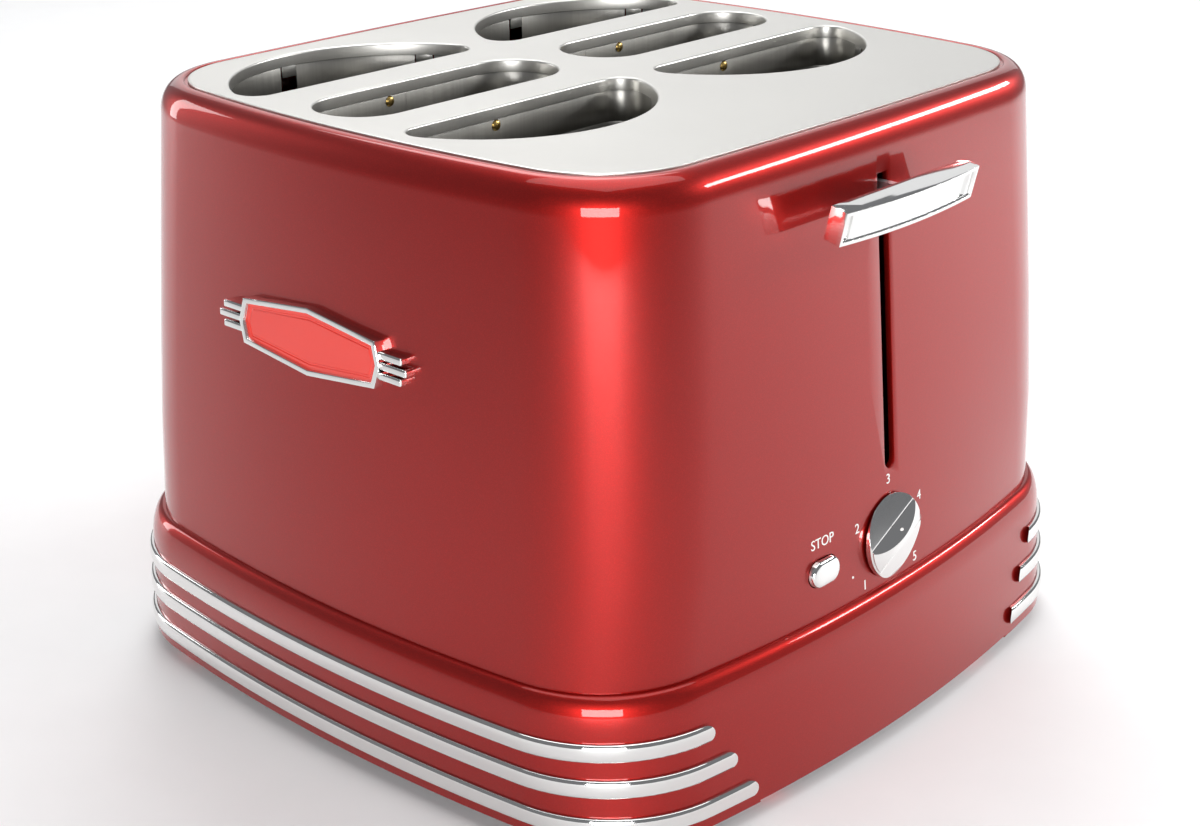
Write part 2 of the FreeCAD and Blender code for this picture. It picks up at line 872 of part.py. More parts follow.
def make_frame():
    wall = box(frame_x, frame_back, -frame_half_y, frame_half_y, chassis_top, frame_top)
    reach = frame_x + frame_flange
    flanges = [box(frame_back, reach, -frame_half_y / 2, frame_half_y / 2, rod_high, frame_top),
               box(frame_back, frame_back + frame_hem, -frame_half_y, frame_half_y, chassis_top,
                   rod_low),
               box(frame_back, frame_x + frame_foot, -rod_y - frame_foot_margin,
                   rod_y + frame_foot_margin, chassis_top, rod_low)]
    frame = joined([wall] + flanges)
    slot = box(frame_x - 1, frame_back + 1, -frame_slot / 2, frame_slot / 2,
               spine_low - travel - frame_slot_margin, spine_low + spine_height + frame_slot_margin)
    holes = [screw_hole(x, y) for x, y in frame_screw_places()]
    return frame.cut([slot] + holes)


def make_rods():
    return grouped([rod(rod_radius, (x, y, rod_low), (0, 0, 1), rod_high - rod_low)
                    for x, y in rod_places])


def make_carriage():
    web = box(carriage_x, carriage_x + carriage_sheet, -carriage_half_y, carriage_half_y,
              carriage_low, carriage_high)
    parts = [web]
    for level in ear_levels:
        parts.append(box(carriage_x, ear_reach, -carriage_half_y, carriage_half_y,
                         level, level + ear_thick))
    parts.append(box(carriage_x, spring_x + spring_radius + 1, spring_y - spring_radius,
                     spring_y + spring_radius, carriage_low, carriage_low + ear_thick))
    parts.append(box(carriage_x, latch_x + latch_plate_size / 2, latch_y - latch_plate_size / 2,
                     latch_y + latch_plate_size / 2, latch_z + latch_plate_thick, tab_high))
    carriage = joined(parts)
    bores = [rod(bush_radius, (x, y, level - 1), (0, 0, 1), ear_thick + 2)
             for x, y in rod_places for level in ear_levels]
    return carriage.cut(bores)


def make_bushes():
    bushes = []
    height = upper_ear_low + ear_thick - carriage_low
    for x, y in rod_places:
        sleeve = rod(bush_radius, (x, y, carriage_low), (0, 0, 1), height)
        bore = rod(rod_radius + bush_gap, (x, y, carriage_low - 1), (0, 0, 1), height + 2)
        bushes.append(sleeve.cut(bore))
    return grouped(bushes)


def make_latch_plate():
    half = latch_plate_size / 2
    return box(latch_x - half, latch_x + half, latch_y - half, latch_y + half,
               latch_z, latch_z + latch_plate_thick)


def make_magnet():
    top = latch_z - travel - latch_air
    core = rod(core_radius, (latch_x, latch_y, chassis_top), (0, 0, 1), top - chassis_top)
    return core


def make_coil():
    low = rod_low + 1
    coil = rod(coil_radius, (latch_x, latch_y, low), (0, 0, 1), coil_height)
    return coil.cut(rod(core_radius, (latch_x, latch_y, low - 1), (0, 0, 1), coil_height + 2))


def make_spring():
    low = carriage_low + ear_thick
    spring = rod(spring_radius, (spring_x, spring_y, low), (0, 0, 1), rod_high - low)
    hollow = rod(spring_radius - spring_wire, (spring_x, spring_y, low - 1), (0, 0, 1),
                 rod_high - low + 2)
    return spring.cut(hollow)


def make_lever_arm():
    return box(carriage_x + carriage_sheet, handle_back_x + handle_depth - handle_wall,
               lever_y - lever_arm_thick / 2, lever_y + lever_arm_thick / 2,
               lever_low, lever_low + lever_arm_height)


def handle_plan(back, inset_ends, front_shift, low, high):
    # Plan of the handle: flat back, bowed front.
    half = handle_width / 2 - inset_ends
    front = handle_depth + front_shift
    bow = handle_bow
    edges = [
        Part.makeLine(V(back, -half, low), V(back, half, low)),
        Part.makeLine(V(back, half, low), V(front, half, low)),
        Part.Arc(V(front, half, low), V(front + bow, 0, low), V(front, -half, low)).toShape(),
        Part.makeLine(V(front, -half, low), V(back, -half, low)),
    ]
    return Part.Face(Part.Wire(edges)).extrude(V(0, 0, high - low))


def make_handle():
    half = handle_height / 2
    body = handle_plan(0, 0, 0, -half, half)
    hollow = handle_plan(-1, handle_end, -handle_wall, -half + handle_wall, half - handle_wall)
    recess = handle_plan(handle_depth - handle_recess, handle_bead_end, 1, -half + handle_bead,
                         half - handle_bead)
    ring = recess.cut(handle_plan(-1, 0, -handle_recess, -half - 1, half + 1))
    handle = body.cut([hollow, ring])
    handle.rotate(V(0, 0, 0), V(0, 1, 0), handle_lean)
    handle.translate(V(handle_back_x + half * math.sin(math.radians(handle_lean)), handle_y, handle_z))
    return handle.cut(make_lever_arm())


def make_board(opening_x, middle_y):
    return box(opening_x - board_thick / 2, opening_x + board_thick / 2, middle_y - board_half,
               middle_y + board_half, chassis_top, board_high)


left_gap_x = (bun_left_chord + sausage_x - sausage_width / 2) / 2
right_gap_x = (bun_right_chord + sausage_x + sausage_width / 2) / 2
board_places = {
    "front_left": (left_gap_x, -row_y),
    "front_right": (right_gap_x, -row_y),
    "back_left": (left_gap_x, row_y),
    "back_right": (right_gap_x, row_y),
}


def make_ribbons():
    ribbons = []
    pitch = (ribbon_high - ribbon_low) / (ribbon_count - 1)
    outer = board_thick / 2 + ribbon_thick
    for x, y in board_places.values():
        for step in range(ribbon_count):
            z = ribbon_low + step * pitch
            for side in (-1, 1):
                inner = x + side * board_thick / 2
                ribbons.append(box(min(inner, x + side * outer), max(inner, x + side * outer),
                                   y - ribbon_half, y + ribbon_half, z, z + ribbon_height))
    return grouped(ribbons)


def make_circuit():
    board = box(circuit_front - circuit_thick, circuit_front, circuit_left, circuit_right,
                circuit_low, circuit_high)
    return on_panel(board)


def make_dial():
    body = rod(dial_radius, (circuit_front, knob_y, 0), (1, 0, 0), dial_depth)
    bore = rod(shaft_radius + dial_gap, (circuit_front + dial_floor, knob_y, 0), (1, 0, 0),
               dial_depth)
    return on_panel(body.cut(bore))


def make_shaft():
    back = circuit_front + dial_floor + shaft_end_gap
    return on_panel(rod(shaft_radius, (back, knob_y, 0), (1, 0, 0), knob_standoff + knob_disc - back))


def make_knob():
    top = knob_standoff + knob_disc
    disc = rod(knob_radius, (knob_standoff, 0, 0), (1, 0, 0), knob_disc)
    rise = knob_bar_middle - knob_bar_edge
    dome_radius = (knob_radius ** 2 + rise ** 2) / (2 * rise)
    dome = rod(knob_radius, (top, 0, 0), (1, 0, 0), knob_bar_middle + 1)
    dome = dome.common(Part.makeSphere(dome_radius, V(top + knob_bar_middle - dome_radius, 0, 0)))
    crest = top + knob_bar_middle
    ridge = polygon_prism([(top, -knob_radius, -knob_bar_half), (crest, -knob_radius, -knob_crest_half),
                           (crest, -knob_radius, knob_crest_half), (top, -knob_radius, knob_bar_half)],
                          (0, 2 * knob_radius, 0))
    bar = dome.common(ridge)
    knob = joined([disc, bar])
    knob.rotate(V(0, 0, 0), V(1, 0, 0), knob_bar_angle)
    knob.translate(V(0, knob_y, 0))
    return on_panel(knob).cut(make_shaft())


def wall_sag(y):
    # How far the bowed wall has fallen back from its middle at y, at the knob's height.
    radius = housing_at(knob_z).radius_x
    return radius - math.sqrt(radius ** 2 - y ** 2)


def make_stop_button():
    front = stop_proud - wall_sag(stop_y)
    flange_end_y = abs(stop_y) + stop_length / 2 + stop_flange
    back = -wall_sag(flange_end_y) - housing_wall - stop_flange_gap
    body = oval_prism(stop_length, stop_height, stop_y, stop_panel_z, back, front)
    front_edges = [e for e in body.Edges if e.BoundBox.XMin > front - 0.01]
    body = body.makeChamfer(stop_bevel, front_edges)
    flange = oval_prism(stop_length + 2 * stop_flange, stop_height + 2 * stop_flange,
                        stop_y, stop_panel_z, back - stop_flange_thick, back)
    stem = rod(stop_stem, (stop_stem_end, stop_y, stop_panel_z), (1, 0, 0),
               back - stop_flange_thick - stop_stem_end)
    return on_panel(joined([body, flange, stem]))


def make_switch():
    half = switch_size / 2
    front = stop_stem_end - stop_travel - switch_air
    return on_panel(box(circuit_front, front, stop_y - half, stop_y + half,
                        stop_panel_z - half, stop_panel_z + half))


def make_tray():
    tray = box(tray_left, tray_right, -tray_half_y, tray_half_y, tray_low, tray_low + tray_height)
    inside = box(tray_left + tray_sheet, tray_right - tray_sheet, -tray_half_y + tray_sheet,
                 tray_half_y - tray_sheet, tray_low + tray_sheet, tray_low + tray_height + 1)
    return tray.cut(inside)


def make_tray_front(block):
    # A skin that carries on the skirt's face, with returns back to the tray and a finger notch.
    high = tray_low + tray_front_height
    panel = box(-far, tray_left, -tray_half_y, tray_half_y, tray_low, high)
    hollow = box(-far, tray_left, -tray_half_y + skirt_wall, tray_half_y - skirt_wall,
                 tray_low + skirt_wall, high - skirt_wall)
    notch = box(-far, tray_left - skirt_wall, -tray_notch_half, tray_notch_half,
                tray_low, tray_low + tray_notch_height)
    return panel.common(block).cut([hollow.common(skirt_cavity()), notch])


def make_cord_bushing():
    half = cord_bush_width / 2
    body = box(cord_x - half, cord_x + half, cord_wall_y - cord_bush_inside,
               cord_wall_y + cord_bush_proud, skirt_low, skirt_low + cord_bush_height)
    bore = rod(cord_radius, (cord_x, 0, skirt_low + cord_bush_height / 2), (0, 1, 0), far)
    return body.cut(bore)


def make_rivets():
    # Flat heads on the left walls of the wells that carry the elements' ends.
    bun_wall = bun_right_chord - well_offset
    sausage_wall = sausage_x - sausage_width / 2 - well_offset
    rivets = []
    for wall_x in (bun_wall, sausage_wall):
        for middle_y in (-row_y, row_y):
            points = []
            for step in range(rivet_sides):
                turn = 2 * math.pi * step / rivet_sides
                points.append((wall_x, middle_y - rivet_offset + rivet_radius * math.cos(turn),
                               rivet_z + rivet_radius * math.sin(turn)))
            rivets.append(polygon_prism(points, (rivet_proud, 0, 0)))
    return grouped(rivets)


base_block = skirt_block()
housing_solid = housing_block()
badge_frame, badge_plate, badge_bars = make_badge(housing_solid)

save("outer_housing", make_housing())
save("top_plate", make_plate())
save("base_skirt", make_skirt(base_block))
for level, z, end_y in (("upper", upper_strip_z, upper_strip_end),
                        ("middle", middle_strip_z, middle_strip_end),
                        ("lower", lower_strip_z, lower_strip_end)):
    save("front_strip_" + level, make_strip(z, end_y, base_block, False))
    save("rear_strip_" + level, make_strip(z, end_y, base_block, True))
save("badge_frame", badge_frame)
save("badge_plate", badge_plate)
save("badge_bars", badge_bars)
save("feet", make_feet())
save("bottom_pan", make_pan())
save("pan_screws", make_pan_screws())
save("chassis_plate", make_chassis())
save("frame_screws", make_frame_screws())
for place, opening in bun_openings.items():
    save("bun_well_" + place, make_well(opening))
    save("bun_lift_" + place, make_lift(opening))
for place, opening in sausage_openings.items():
    save("sausage_well_" + place, make_well(opening))
    save("sausage_lift_" + place, make_lift(opening))
save("terminal_rivets", make_rivets())
save("mechanism_frame", make_frame())
save("guide_rods", make_rods())
save("carriage", make_carriage())
save("carriage_bushes", make_bushes())
save("carriage_spine", make_spine())
save("carriage_spring", make_spring())
save("latch_plate", make_latch_plate())
save("latch_magnet", make_magnet())
save("latch_coil", make_coil())
save("lever_arm", make_lever_arm())
save("lever_handle", make_handle())
for place, (x, y) in board_places.items():
    save("element_board_" + place, make_board(x, y))
save("heating_ribbons", make_ribbons())
save("control_board", make_circuit())
save("timer_dial", make_dial())
save("knob_shaft", make_shaft())
save("control_knob", make_knob())
save("stop_button", make_stop_button())
save("stop_switch", make_switch())
save("crumb_tray", make_tray())
save("tray_front", make_tray_front(base_block))
save("cord_bushing", make_cord_bushing())
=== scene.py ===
import json
import math

import bmesh
import bpy
from mathutils import Matrix, Vector


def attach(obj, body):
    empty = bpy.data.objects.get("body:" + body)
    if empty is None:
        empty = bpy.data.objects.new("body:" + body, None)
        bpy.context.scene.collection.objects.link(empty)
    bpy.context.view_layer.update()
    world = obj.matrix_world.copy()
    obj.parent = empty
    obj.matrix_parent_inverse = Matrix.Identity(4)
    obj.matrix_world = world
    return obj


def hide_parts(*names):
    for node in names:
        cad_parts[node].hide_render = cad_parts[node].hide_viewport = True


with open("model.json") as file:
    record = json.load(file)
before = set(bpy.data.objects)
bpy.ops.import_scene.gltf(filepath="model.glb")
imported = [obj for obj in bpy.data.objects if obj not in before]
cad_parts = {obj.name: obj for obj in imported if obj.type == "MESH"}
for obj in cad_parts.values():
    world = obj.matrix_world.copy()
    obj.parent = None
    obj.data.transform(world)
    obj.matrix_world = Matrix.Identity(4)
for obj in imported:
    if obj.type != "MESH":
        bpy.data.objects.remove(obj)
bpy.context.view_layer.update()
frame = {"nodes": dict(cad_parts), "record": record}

mm = 0.001
upAxis = (0, 0, 1)
outAxis = (1, 0, 0)
outTurn = (0, math.pi / 2, 0)  # lays an upright piece along it
far = 200 * mm  # beyond every wall, where a cutter starts
inside = 100 * mm  # well inside the side walls, where it ends
touch = 0.01 * mm  # places nearer than this are the same


def lengths(**sizes):
    # a piece's sizes, given in millimetres
    return {key: size * mm for key, size in sizes.items()}


def nothingSelected():
    if bpy.context.object and bpy.context.object.mode != "OBJECT":
        bpy.ops.object.mode_set(mode="OBJECT")
    bpy.ops.object.select_all(action="DESELECT")


def pick(piece):
    nothingSelected()
    piece.select_set(True)
    bpy.context.view_layer.objects.active = piece


def editing(piece):
    pick(piece)
    bpy.ops.object.mode_set(mode="EDIT")
    bpy.ops.mesh.select_mode(type="VERT")
    bpy.ops.mesh.select_all(action="DESELECT")


def openMesh():
    return bmesh.from_edit_mesh(bpy.context.object.data)


def everything():
    bpy.ops.mesh.select_all(action="SELECT")


def choose(kind, test):
    # in edit mode, selects the vertices, edges or faces that pass a test
    bpy.ops.mesh.select_mode(type=kind)
    bpy.ops.mesh.select_all(action="DESELECT")
    mesh = openMesh()
    parts = {"VERT": mesh.verts, "EDGE": mesh.edges, "FACE": mesh.faces}[kind]
    parts.ensure_lookup_table()
    for part in parts:
        if test(part):
            part.select_set(True)
    mesh.select_flush_mode()
    bmesh.update_edit_mesh(bpy.context.object.data)


def middle(edge):
    return (edge.verts[0].co + edge.verts[1].co) / 2


def facing(direction):
    # a test for the faces that look along a direction
    return lambda f: f.normal.dot(Vector(direction)) > 0.9


def newPiece(name):
    # an empty mesh in edit mode
    nothingSelected()
    bpy.ops.mesh.primitive_plane_add(size=mm)
    piece = bpy.context.object
    piece.name = name
    bpy.ops.object.mode_set(mode="EDIT")
    bpy.ops.mesh.select_mode(type="VERT")
    everything()
    bpy.ops.mesh.delete(type="VERT")
    return piece


def drawnOut(vector):
    bpy.ops.mesh.extrude_region_move(TRANSFORM_OT_translate={"value": vector})


def trace(start, moves, closed=True):
    # a line of runs ("go", vector, steps) and arcs ("turn", centre, angle, steps, axis)
    first = len(openMesh().verts)
    bpy.ops.mesh.primitive_plane_add(size=mm, location=start)
    bpy.ops.mesh.merge(type="CENTER")  # leaves one loose point, the line's first
    for number, move in enumerate(moves):
        last = closed and number == len(moves) - 1
        steps = move[-1] if move[0] == "go" else move[3]
        used = steps - 1 if last else steps
        if move[0] == "go":
            for step in range(used):
                drawnOut(Vector(move[1]) / steps)
        elif used:
            bpy.ops.mesh.spin(steps=used, angle=-move[2] * used / steps, center=move[1],
                              axis=move[4])
    if closed:
        end = len(openMesh().verts) - 1
        choose("VERT", lambda v: v.index in (first, end))
        bpy.ops.mesh.edge_face_add()


def bridged(name, rings, loop=False):
    # traces each ring of equal count and bridges it to the next; the rings are held apart
    # while they're bridged, so that level neighbours keep the same direction
    apart = 100 * mm
    piece = newPiece(name)
    size = 0
    for number, ring in enumerate(rings):
        ring()
        size = size or len(openMesh().verts)
        choose("VERT", lambda v: v.index >= number * size)
        bpy.ops.transform.translate(value=(0, 0, number * apart))
    pairs = [(k, k + 1) for k in range(len(rings) - 1)]
    if loop:
        pairs.append((len(rings) - 1, 0))
    for pair in pairs:
        choose("VERT", lambda v: v.index // size in pair)
        bpy.ops.mesh.bridge_edge_loops()
    for number in range(1, len(rings)):
        choose("VERT", lambda v: v.index // size == number)
        bpy.ops.transform.translate(value=(0, 0, -number * apart))
    return piece


def outward():
    everything()
    bpy.ops.mesh.normals_make_consistent(inside=False)


def prism(name, start, moves, depth):
    # a traced closed outline, filled and drawn out
    piece = newPiece(name)
    trace(start, moves)
    everything()
    bpy.ops.mesh.edge_face_add()
    drawnOut(depth)
    outward()
    return piece


def spun(steps, axis):
    # turns the traced profile once round an axis through the origin and welds the seam
    everything()
    bpy.ops.mesh.spin(steps=steps, angle=2 * math.pi, center=(0, 0, 0), axis=axis)
    everything()
    bpy.ops.mesh.remove_doubles(threshold=touch)


def capped(test=lambda e: True):
    # fills the open edges that pass a test
    choose("EDGE", lambda e: len(e.link_faces) == 1 and test(e))
    bpy.ops.mesh.edge_face_add()


def stepped(steps):
    # insets the selected faces again and again, by (inset, rise) in millimetres
    for inset, rise in steps:
        bpy.ops.mesh.inset(thickness=inset * mm, depth=rise * mm)


def mirrored(piece, signs):
    editing(piece)
    everything()
    bpy.ops.transform.resize(value=signs, center_override=(0, 0, 0))
    outward()


def settled():
    # puts the active piece's place, turn and scale into its mesh
    bpy.ops.object.transform_apply(location=True, rotation=True, scale=True)
    return bpy.context.object


def placed(piece, location=(0, 0, 0), rotation=(0, 0, 0)):
    pick(piece)
    piece.rotation_euler = rotation
    piece.location = location
    settled()


def block(low, high):
    nothingSelected()
    low, high = Vector(low), Vector(high)
    bpy.ops.mesh.primitive_cube_add(size=1, location=(low + high) / 2, scale=high - low)
    return settled()


def cylinder(radius, depth, place, points, turn=(0, 0, 0)):
    nothingSelected()
    bpy.ops.mesh.primitive_cylinder_add(vertices=points, radius=radius, depth=depth,
                                        location=place, rotation=turn)
    return settled()


def applied(piece, kind, **settings):
    pick(piece)
    modifier = piece.modifiers.new(kind.lower(), kind)
    for key, value in settings.items():
        setattr(modifier, key, value)
    bpy.ops.object.modifier_apply(modifier=modifier.name)


def rounded(piece, width, segments, angle=30):
    applied(piece, "BEVEL", width=width, segments=segments, limit_method="ANGLE",
            angle_limit=math.radians(angle))


def carved(piece, cutter):
    applied(piece, "BOOLEAN", operation="DIFFERENCE", object=cutter, solver="EXACT")
    bpy.data.objects.remove(cutter)


def copied(piece, name):
    # edit mode is left first, or the copy would hold the mesh from before the edits
    nothingSelected()
    twin = piece.copy()
    twin.data = piece.data.copy()
    twin.name = name
    bpy.context.scene.collection.objects.link(twin)
    return twin


def together(pieces, name):
    pick(pieces[0])
    for piece in pieces:
        piece.select_set(True)
    bpy.ops.object.join()
    bpy.context.object.name = name
    return bpy.context.object


def finished(piece, body, slot, stands=(), angle=34, finish=None):
    # smooths it, gives it its finish (its slot's if none is named) and hands it to its body
    pick(piece)
    bpy.ops.object.shade_smooth_by_angle(angle=math.radians(angle))
    if not piece.data.materials:
        piece.data.materials.append(finish or finishes[slot])
    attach(piece, body)
    if stands:
        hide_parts(*stands)


class Wire:
    # a value in a material's nodes that adds its own Math nodes

    def __init__(self, finish, socket):
        self.finish = finish
        self.socket = socket

    def maths(self, operation, first, second):
        node = self.finish.add("ShaderNodeMath", {"operation": operation}, {0: first, 1: second})
        return Wire(self.finish, node.outputs[0])

    def __add__(self, other):
        return self.maths("ADD", self, other)

    def __radd__(self, other):
        return self.maths("ADD", other, self)

    def __rsub__(self, other):
        return self.maths("SUBTRACT", other, self)

    def __mul__(self, other):
        return self.maths("MULTIPLY", self, other)


class Finish:
    # a Principled material with patterns on the piece's own coordinates

    def __init__(self, name, fixed):
        self.material = bpy.data.materials.new(name)
        self.material.use_nodes = True
        self.tree = self.material.node_tree
        self.shader = self.tree.nodes["Principled BSDF"]
        self.place = None
        for key, value in fixed.items():
            self.shader.inputs[key].default_value = value

    def add(self, kind, settings=None, inputs=None):
        node = self.tree.nodes.new(kind)
        for key, value in (settings or {}).items():
            setattr(node, key, value)
        for key, value in (inputs or {}).items():
            if isinstance(value, Wire):
                self.tree.links.new(value.socket, node.inputs[key])
            else:
                node.inputs[key].default_value = value
        return node

    def spot(self, stretch=(1, 1, 1)):
        if self.place is None:
            self.place = self.add("ShaderNodeTexCoord")
        node = self.add("ShaderNodeMapping", None, {"Scale": stretch})
        self.tree.links.new(self.place.outputs["Object"], node.inputs["Vector"])
        return Wire(self, node.outputs[0])

    def pattern(self, kind, output, scale, inputs=None, settings=None, stretch=(1, 1, 1)):
        node = self.add("ShaderNodeTex" + kind, settings, {
            "Vector": self.spot(stretch), "Scale": scale, **(inputs or {})})
        return Wire(self, node.outputs[output])

    def noise(self, scale, detail=2.0, stretch=(1, 1, 1), rough=0.5):
        return self.pattern("Noise", 0, scale, {"Detail": detail, "Roughness": rough},
                            None, stretch)

    def cells(self, scale, output="Distance"):
        return self.pattern("Voronoi", output, scale)

    def ramp(self, value, *stops):
        node = self.add("ShaderNodeValToRGB", None, {"Fac": value})
        elements = node.color_ramp.elements
        while len(elements) < len(stops):
            elements.new(0.5)
        for element, (position, colour) in zip(elements, stops):
            element.position = position
            element.color = (*colour, 1)
        return Wire(self, node.outputs["Color"])

    def blend(self, factor, first, second):
        node = self.add("ShaderNodeMix", {"data_type": "RGBA"},
                        {0: factor, 6: (*first, 1), 7: (*second, 1)})
        return Wire(self, node.outputs[2])

    def feed(self, name, wire):
        self.tree.links.new(wire.socket, self.shader.inputs[name])

    def made(self, colour, roughness, height, strength, distance):
        bump = self.add("ShaderNodeBump", None, {
            "Height": height, "Strength": strength, "Distance": distance})
        self.feed("Base Color", colour)
        self.feed("Roughness", roughness)
        self.feed("Normal", Wire(self, bump.outputs[0]))
        return self.material


def candyPaint(deep, bright):
    # metallic base under a clear coat, with fine flake and a faint orange peel
    finish = Finish("candyRed", {"Metallic": 0.9, "Coat Weight": 1.0, "Coat Roughness": 0.03,
                                 "Coat IOR": 1.36})
    flake = finish.cells(2600.0)
    cloud = finish.noise(9.0, 3.0)
    return finish.made(finish.blend(flake * 0.7 + cloud * 0.35, deep, bright),
                       0.34 + flake * 0.08 + cloud * 0.05, finish.noise(420.0, 1.0), 0.06, 0.0003)


def gloss(name, base, spread, roughness, fixed):
    # moulded or enamelled colour with slight variation and fine tooth
    finish = Finish(name, fixed)
    cloud = finish.noise(30.0, 3.0)
    speck = finish.noise(900.0, 2.0)
    return finish.made(finish.blend(cloud, base, spread), roughness - 0.04 + speck * 0.08,
                       speck, 0.08, 0.0002)


def brushed(name, base, spread, roughness, stretch, depth=0.06):
    # sheet metal with lines along one direction and broad clouding
    finish = Finish(name, {"Metallic": 1.0})
    lines = finish.noise(1.0, 3.0, stretch, 0.6)
    cloud = finish.noise(14.0, 2.0)
    return finish.made(finish.blend(lines * 0.7 + cloud * 0.3, base, spread),
                       roughness - 0.08 + lines * 0.12 + cloud * 0.05, lines, depth, 0.0002)


def polished(name, base, roughness):
    # plated metal with faint wiping marks
    finish = Finish(name, {"Metallic": 1.0})
    smear = finish.noise(60.0, 4.0, (1, 3, 1))
    return finish.made(finish.blend(smear, base, [c * 0.96 for c in base]),
                       roughness + smear * 0.05, finish.noise(260.0, 1.0), 0.02, 0.0002)


def zincPaint():
    # spangled galvanised sheet
    finish = Finish("zincSheet", {"Metallic": 1.0})
    spangle = finish.ramp(finish.cells(70.0, "Color"), (0.0, (0.40, 0.41, 0.43)),
                          (1.0, (0.62, 0.63, 0.65)))
    return finish.made(spangle, 0.3 + finish.noise(40.0, 3.0) * 0.22,
                       finish.noise(300.0, 2.0), 0.08, 0.0002)


def micaPaint():
    # pressed flakes under a thin sheen
    finish = Finish("mica", {"Metallic": 0.0, "Coat Weight": 0.3, "Coat Roughness": 0.2})
    flakes = finish.ramp(finish.cells(220.0, "Color"), (0.0, (0.42, 0.35, 0.24)),
                         (0.6, (0.56, 0.48, 0.35)), (1.0, (0.68, 0.61, 0.48)))
    return finish.made(flakes, 0.35 + finish.noise(200.0, 3.0) * 0.25,
                       finish.cells(220.0), 0.15, 0.0002)


def heaterPaint():
    # resistance strip, sooted by use
    finish = Finish("heatingWire", {"Metallic": 0.9})
    soot = finish.noise(120.0, 4.0)
    return finish.made(finish.blend(soot, (0.20, 0.17, 0.16), (0.40, 0.36, 0.34)),
                       0.42 + soot * 0.2, soot, 0.1, 0.0002)


def copperPaint():
    # enamelled wire, turn beside turn
    finish = Finish("copperCoil", {"Metallic": 1.0})
    turns = finish.pattern("Wave", "Fac", 420.0, None, {"bands_direction": "Z"})
    return finish.made(finish.blend(turns, (0.30, 0.11, 0.04), (0.78, 0.36, 0.18)),
                       0.42 - turns * 0.15, turns, 0.6, 0.0004)


def boardPaint():
    # green lacquer over a pattern of tracks
    finish = Finish("circuitBoard", {"Metallic": 0.0, "Coat Weight": 0.5, "Coat Roughness": 0.15})
    tracks = finish.pattern("Brick", "Color", 90.0, {
        "Color1": (0.03, 0.22, 0.08, 1), "Color2": (0.04, 0.27, 0.10, 1),
        "Mortar": (0.10, 0.38, 0.16, 1)})
    cloud = finish.noise(60.0, 3.0)
    return finish.made(tracks, 0.32 + cloud * 0.15, cloud, 0.05, 0.0002)


finishes = {
    "red_enamel": candyPaint((0.23, 0.005, 0.003), (0.42, 0.009, 0.006)),
    "brushed_steel": brushed("brushedSteel", (0.60, 0.59, 0.56), (0.70, 0.69, 0.66), 0.34,
                             (30, 2200, 30)),
    "chrome": polished("chrome", (0.80, 0.80, 0.79), 0.03),
    "well_steel": brushed("wellSteel", (0.32, 0.31, 0.29), (0.46, 0.45, 0.42), 0.30,
                          (900, 900, 14), 0.1),
    "screw_steel": brushed("screwSteel", (0.46, 0.46, 0.47), (0.60, 0.60, 0.61), 0.30,
                           (700, 700, 60)),
    "brass": brushed("brass", (0.62, 0.40, 0.10), (0.80, 0.58, 0.22), 0.26, (500, 500, 500)),
    "red_feet": gloss("feetRed", (0.52, 0.012, 0.018), (0.66, 0.02, 0.028), 0.38,
                      {"Coat Weight": 0.2}),
    "badge_red": gloss("enamelRed", (0.72, 0.022, 0.010), (0.80, 0.032, 0.014), 0.25,
                       {"Coat Weight": 0.8, "Coat Roughness": 0.05}),
    "black_plastic": gloss("blackPlastic", (0.022, 0.022, 0.024), (0.035, 0.035, 0.036), 0.5, {}),
    "black_rubber": gloss("blackRubber", (0.018, 0.018, 0.018), (0.03, 0.03, 0.03), 0.72, {}),
    "zinc_sheet": zincPaint(), "copper_coil": copperPaint(), "mica": micaPaint(),
    "heating_wire": heaterPaint(), "circuit_board": boardPaint(),
}
# white for the printed marks, also put on the knob's grip as a painted highlight
printAndGlintWhite = gloss("printAndGlintWhite", (0.80, 0.79, 0.77), (0.88, 0.87, 0.85), 0.45, {})
floorPaint = gloss("floorPaint", (0.86, 0.86, 0.86), (0.90, 0.90, 0.90), 0.6, {})
for part in frame["record"]["subparts"]:
    node = frame["nodes"][part["node"]]
    if not node.data.materials:
        node.data.materials.append(None)
    for index in range(len(node.data.materials)):
        node.data.materials[index] = finishes[part["material_slot"]]
print("finishes made and given to the CAD nodes")


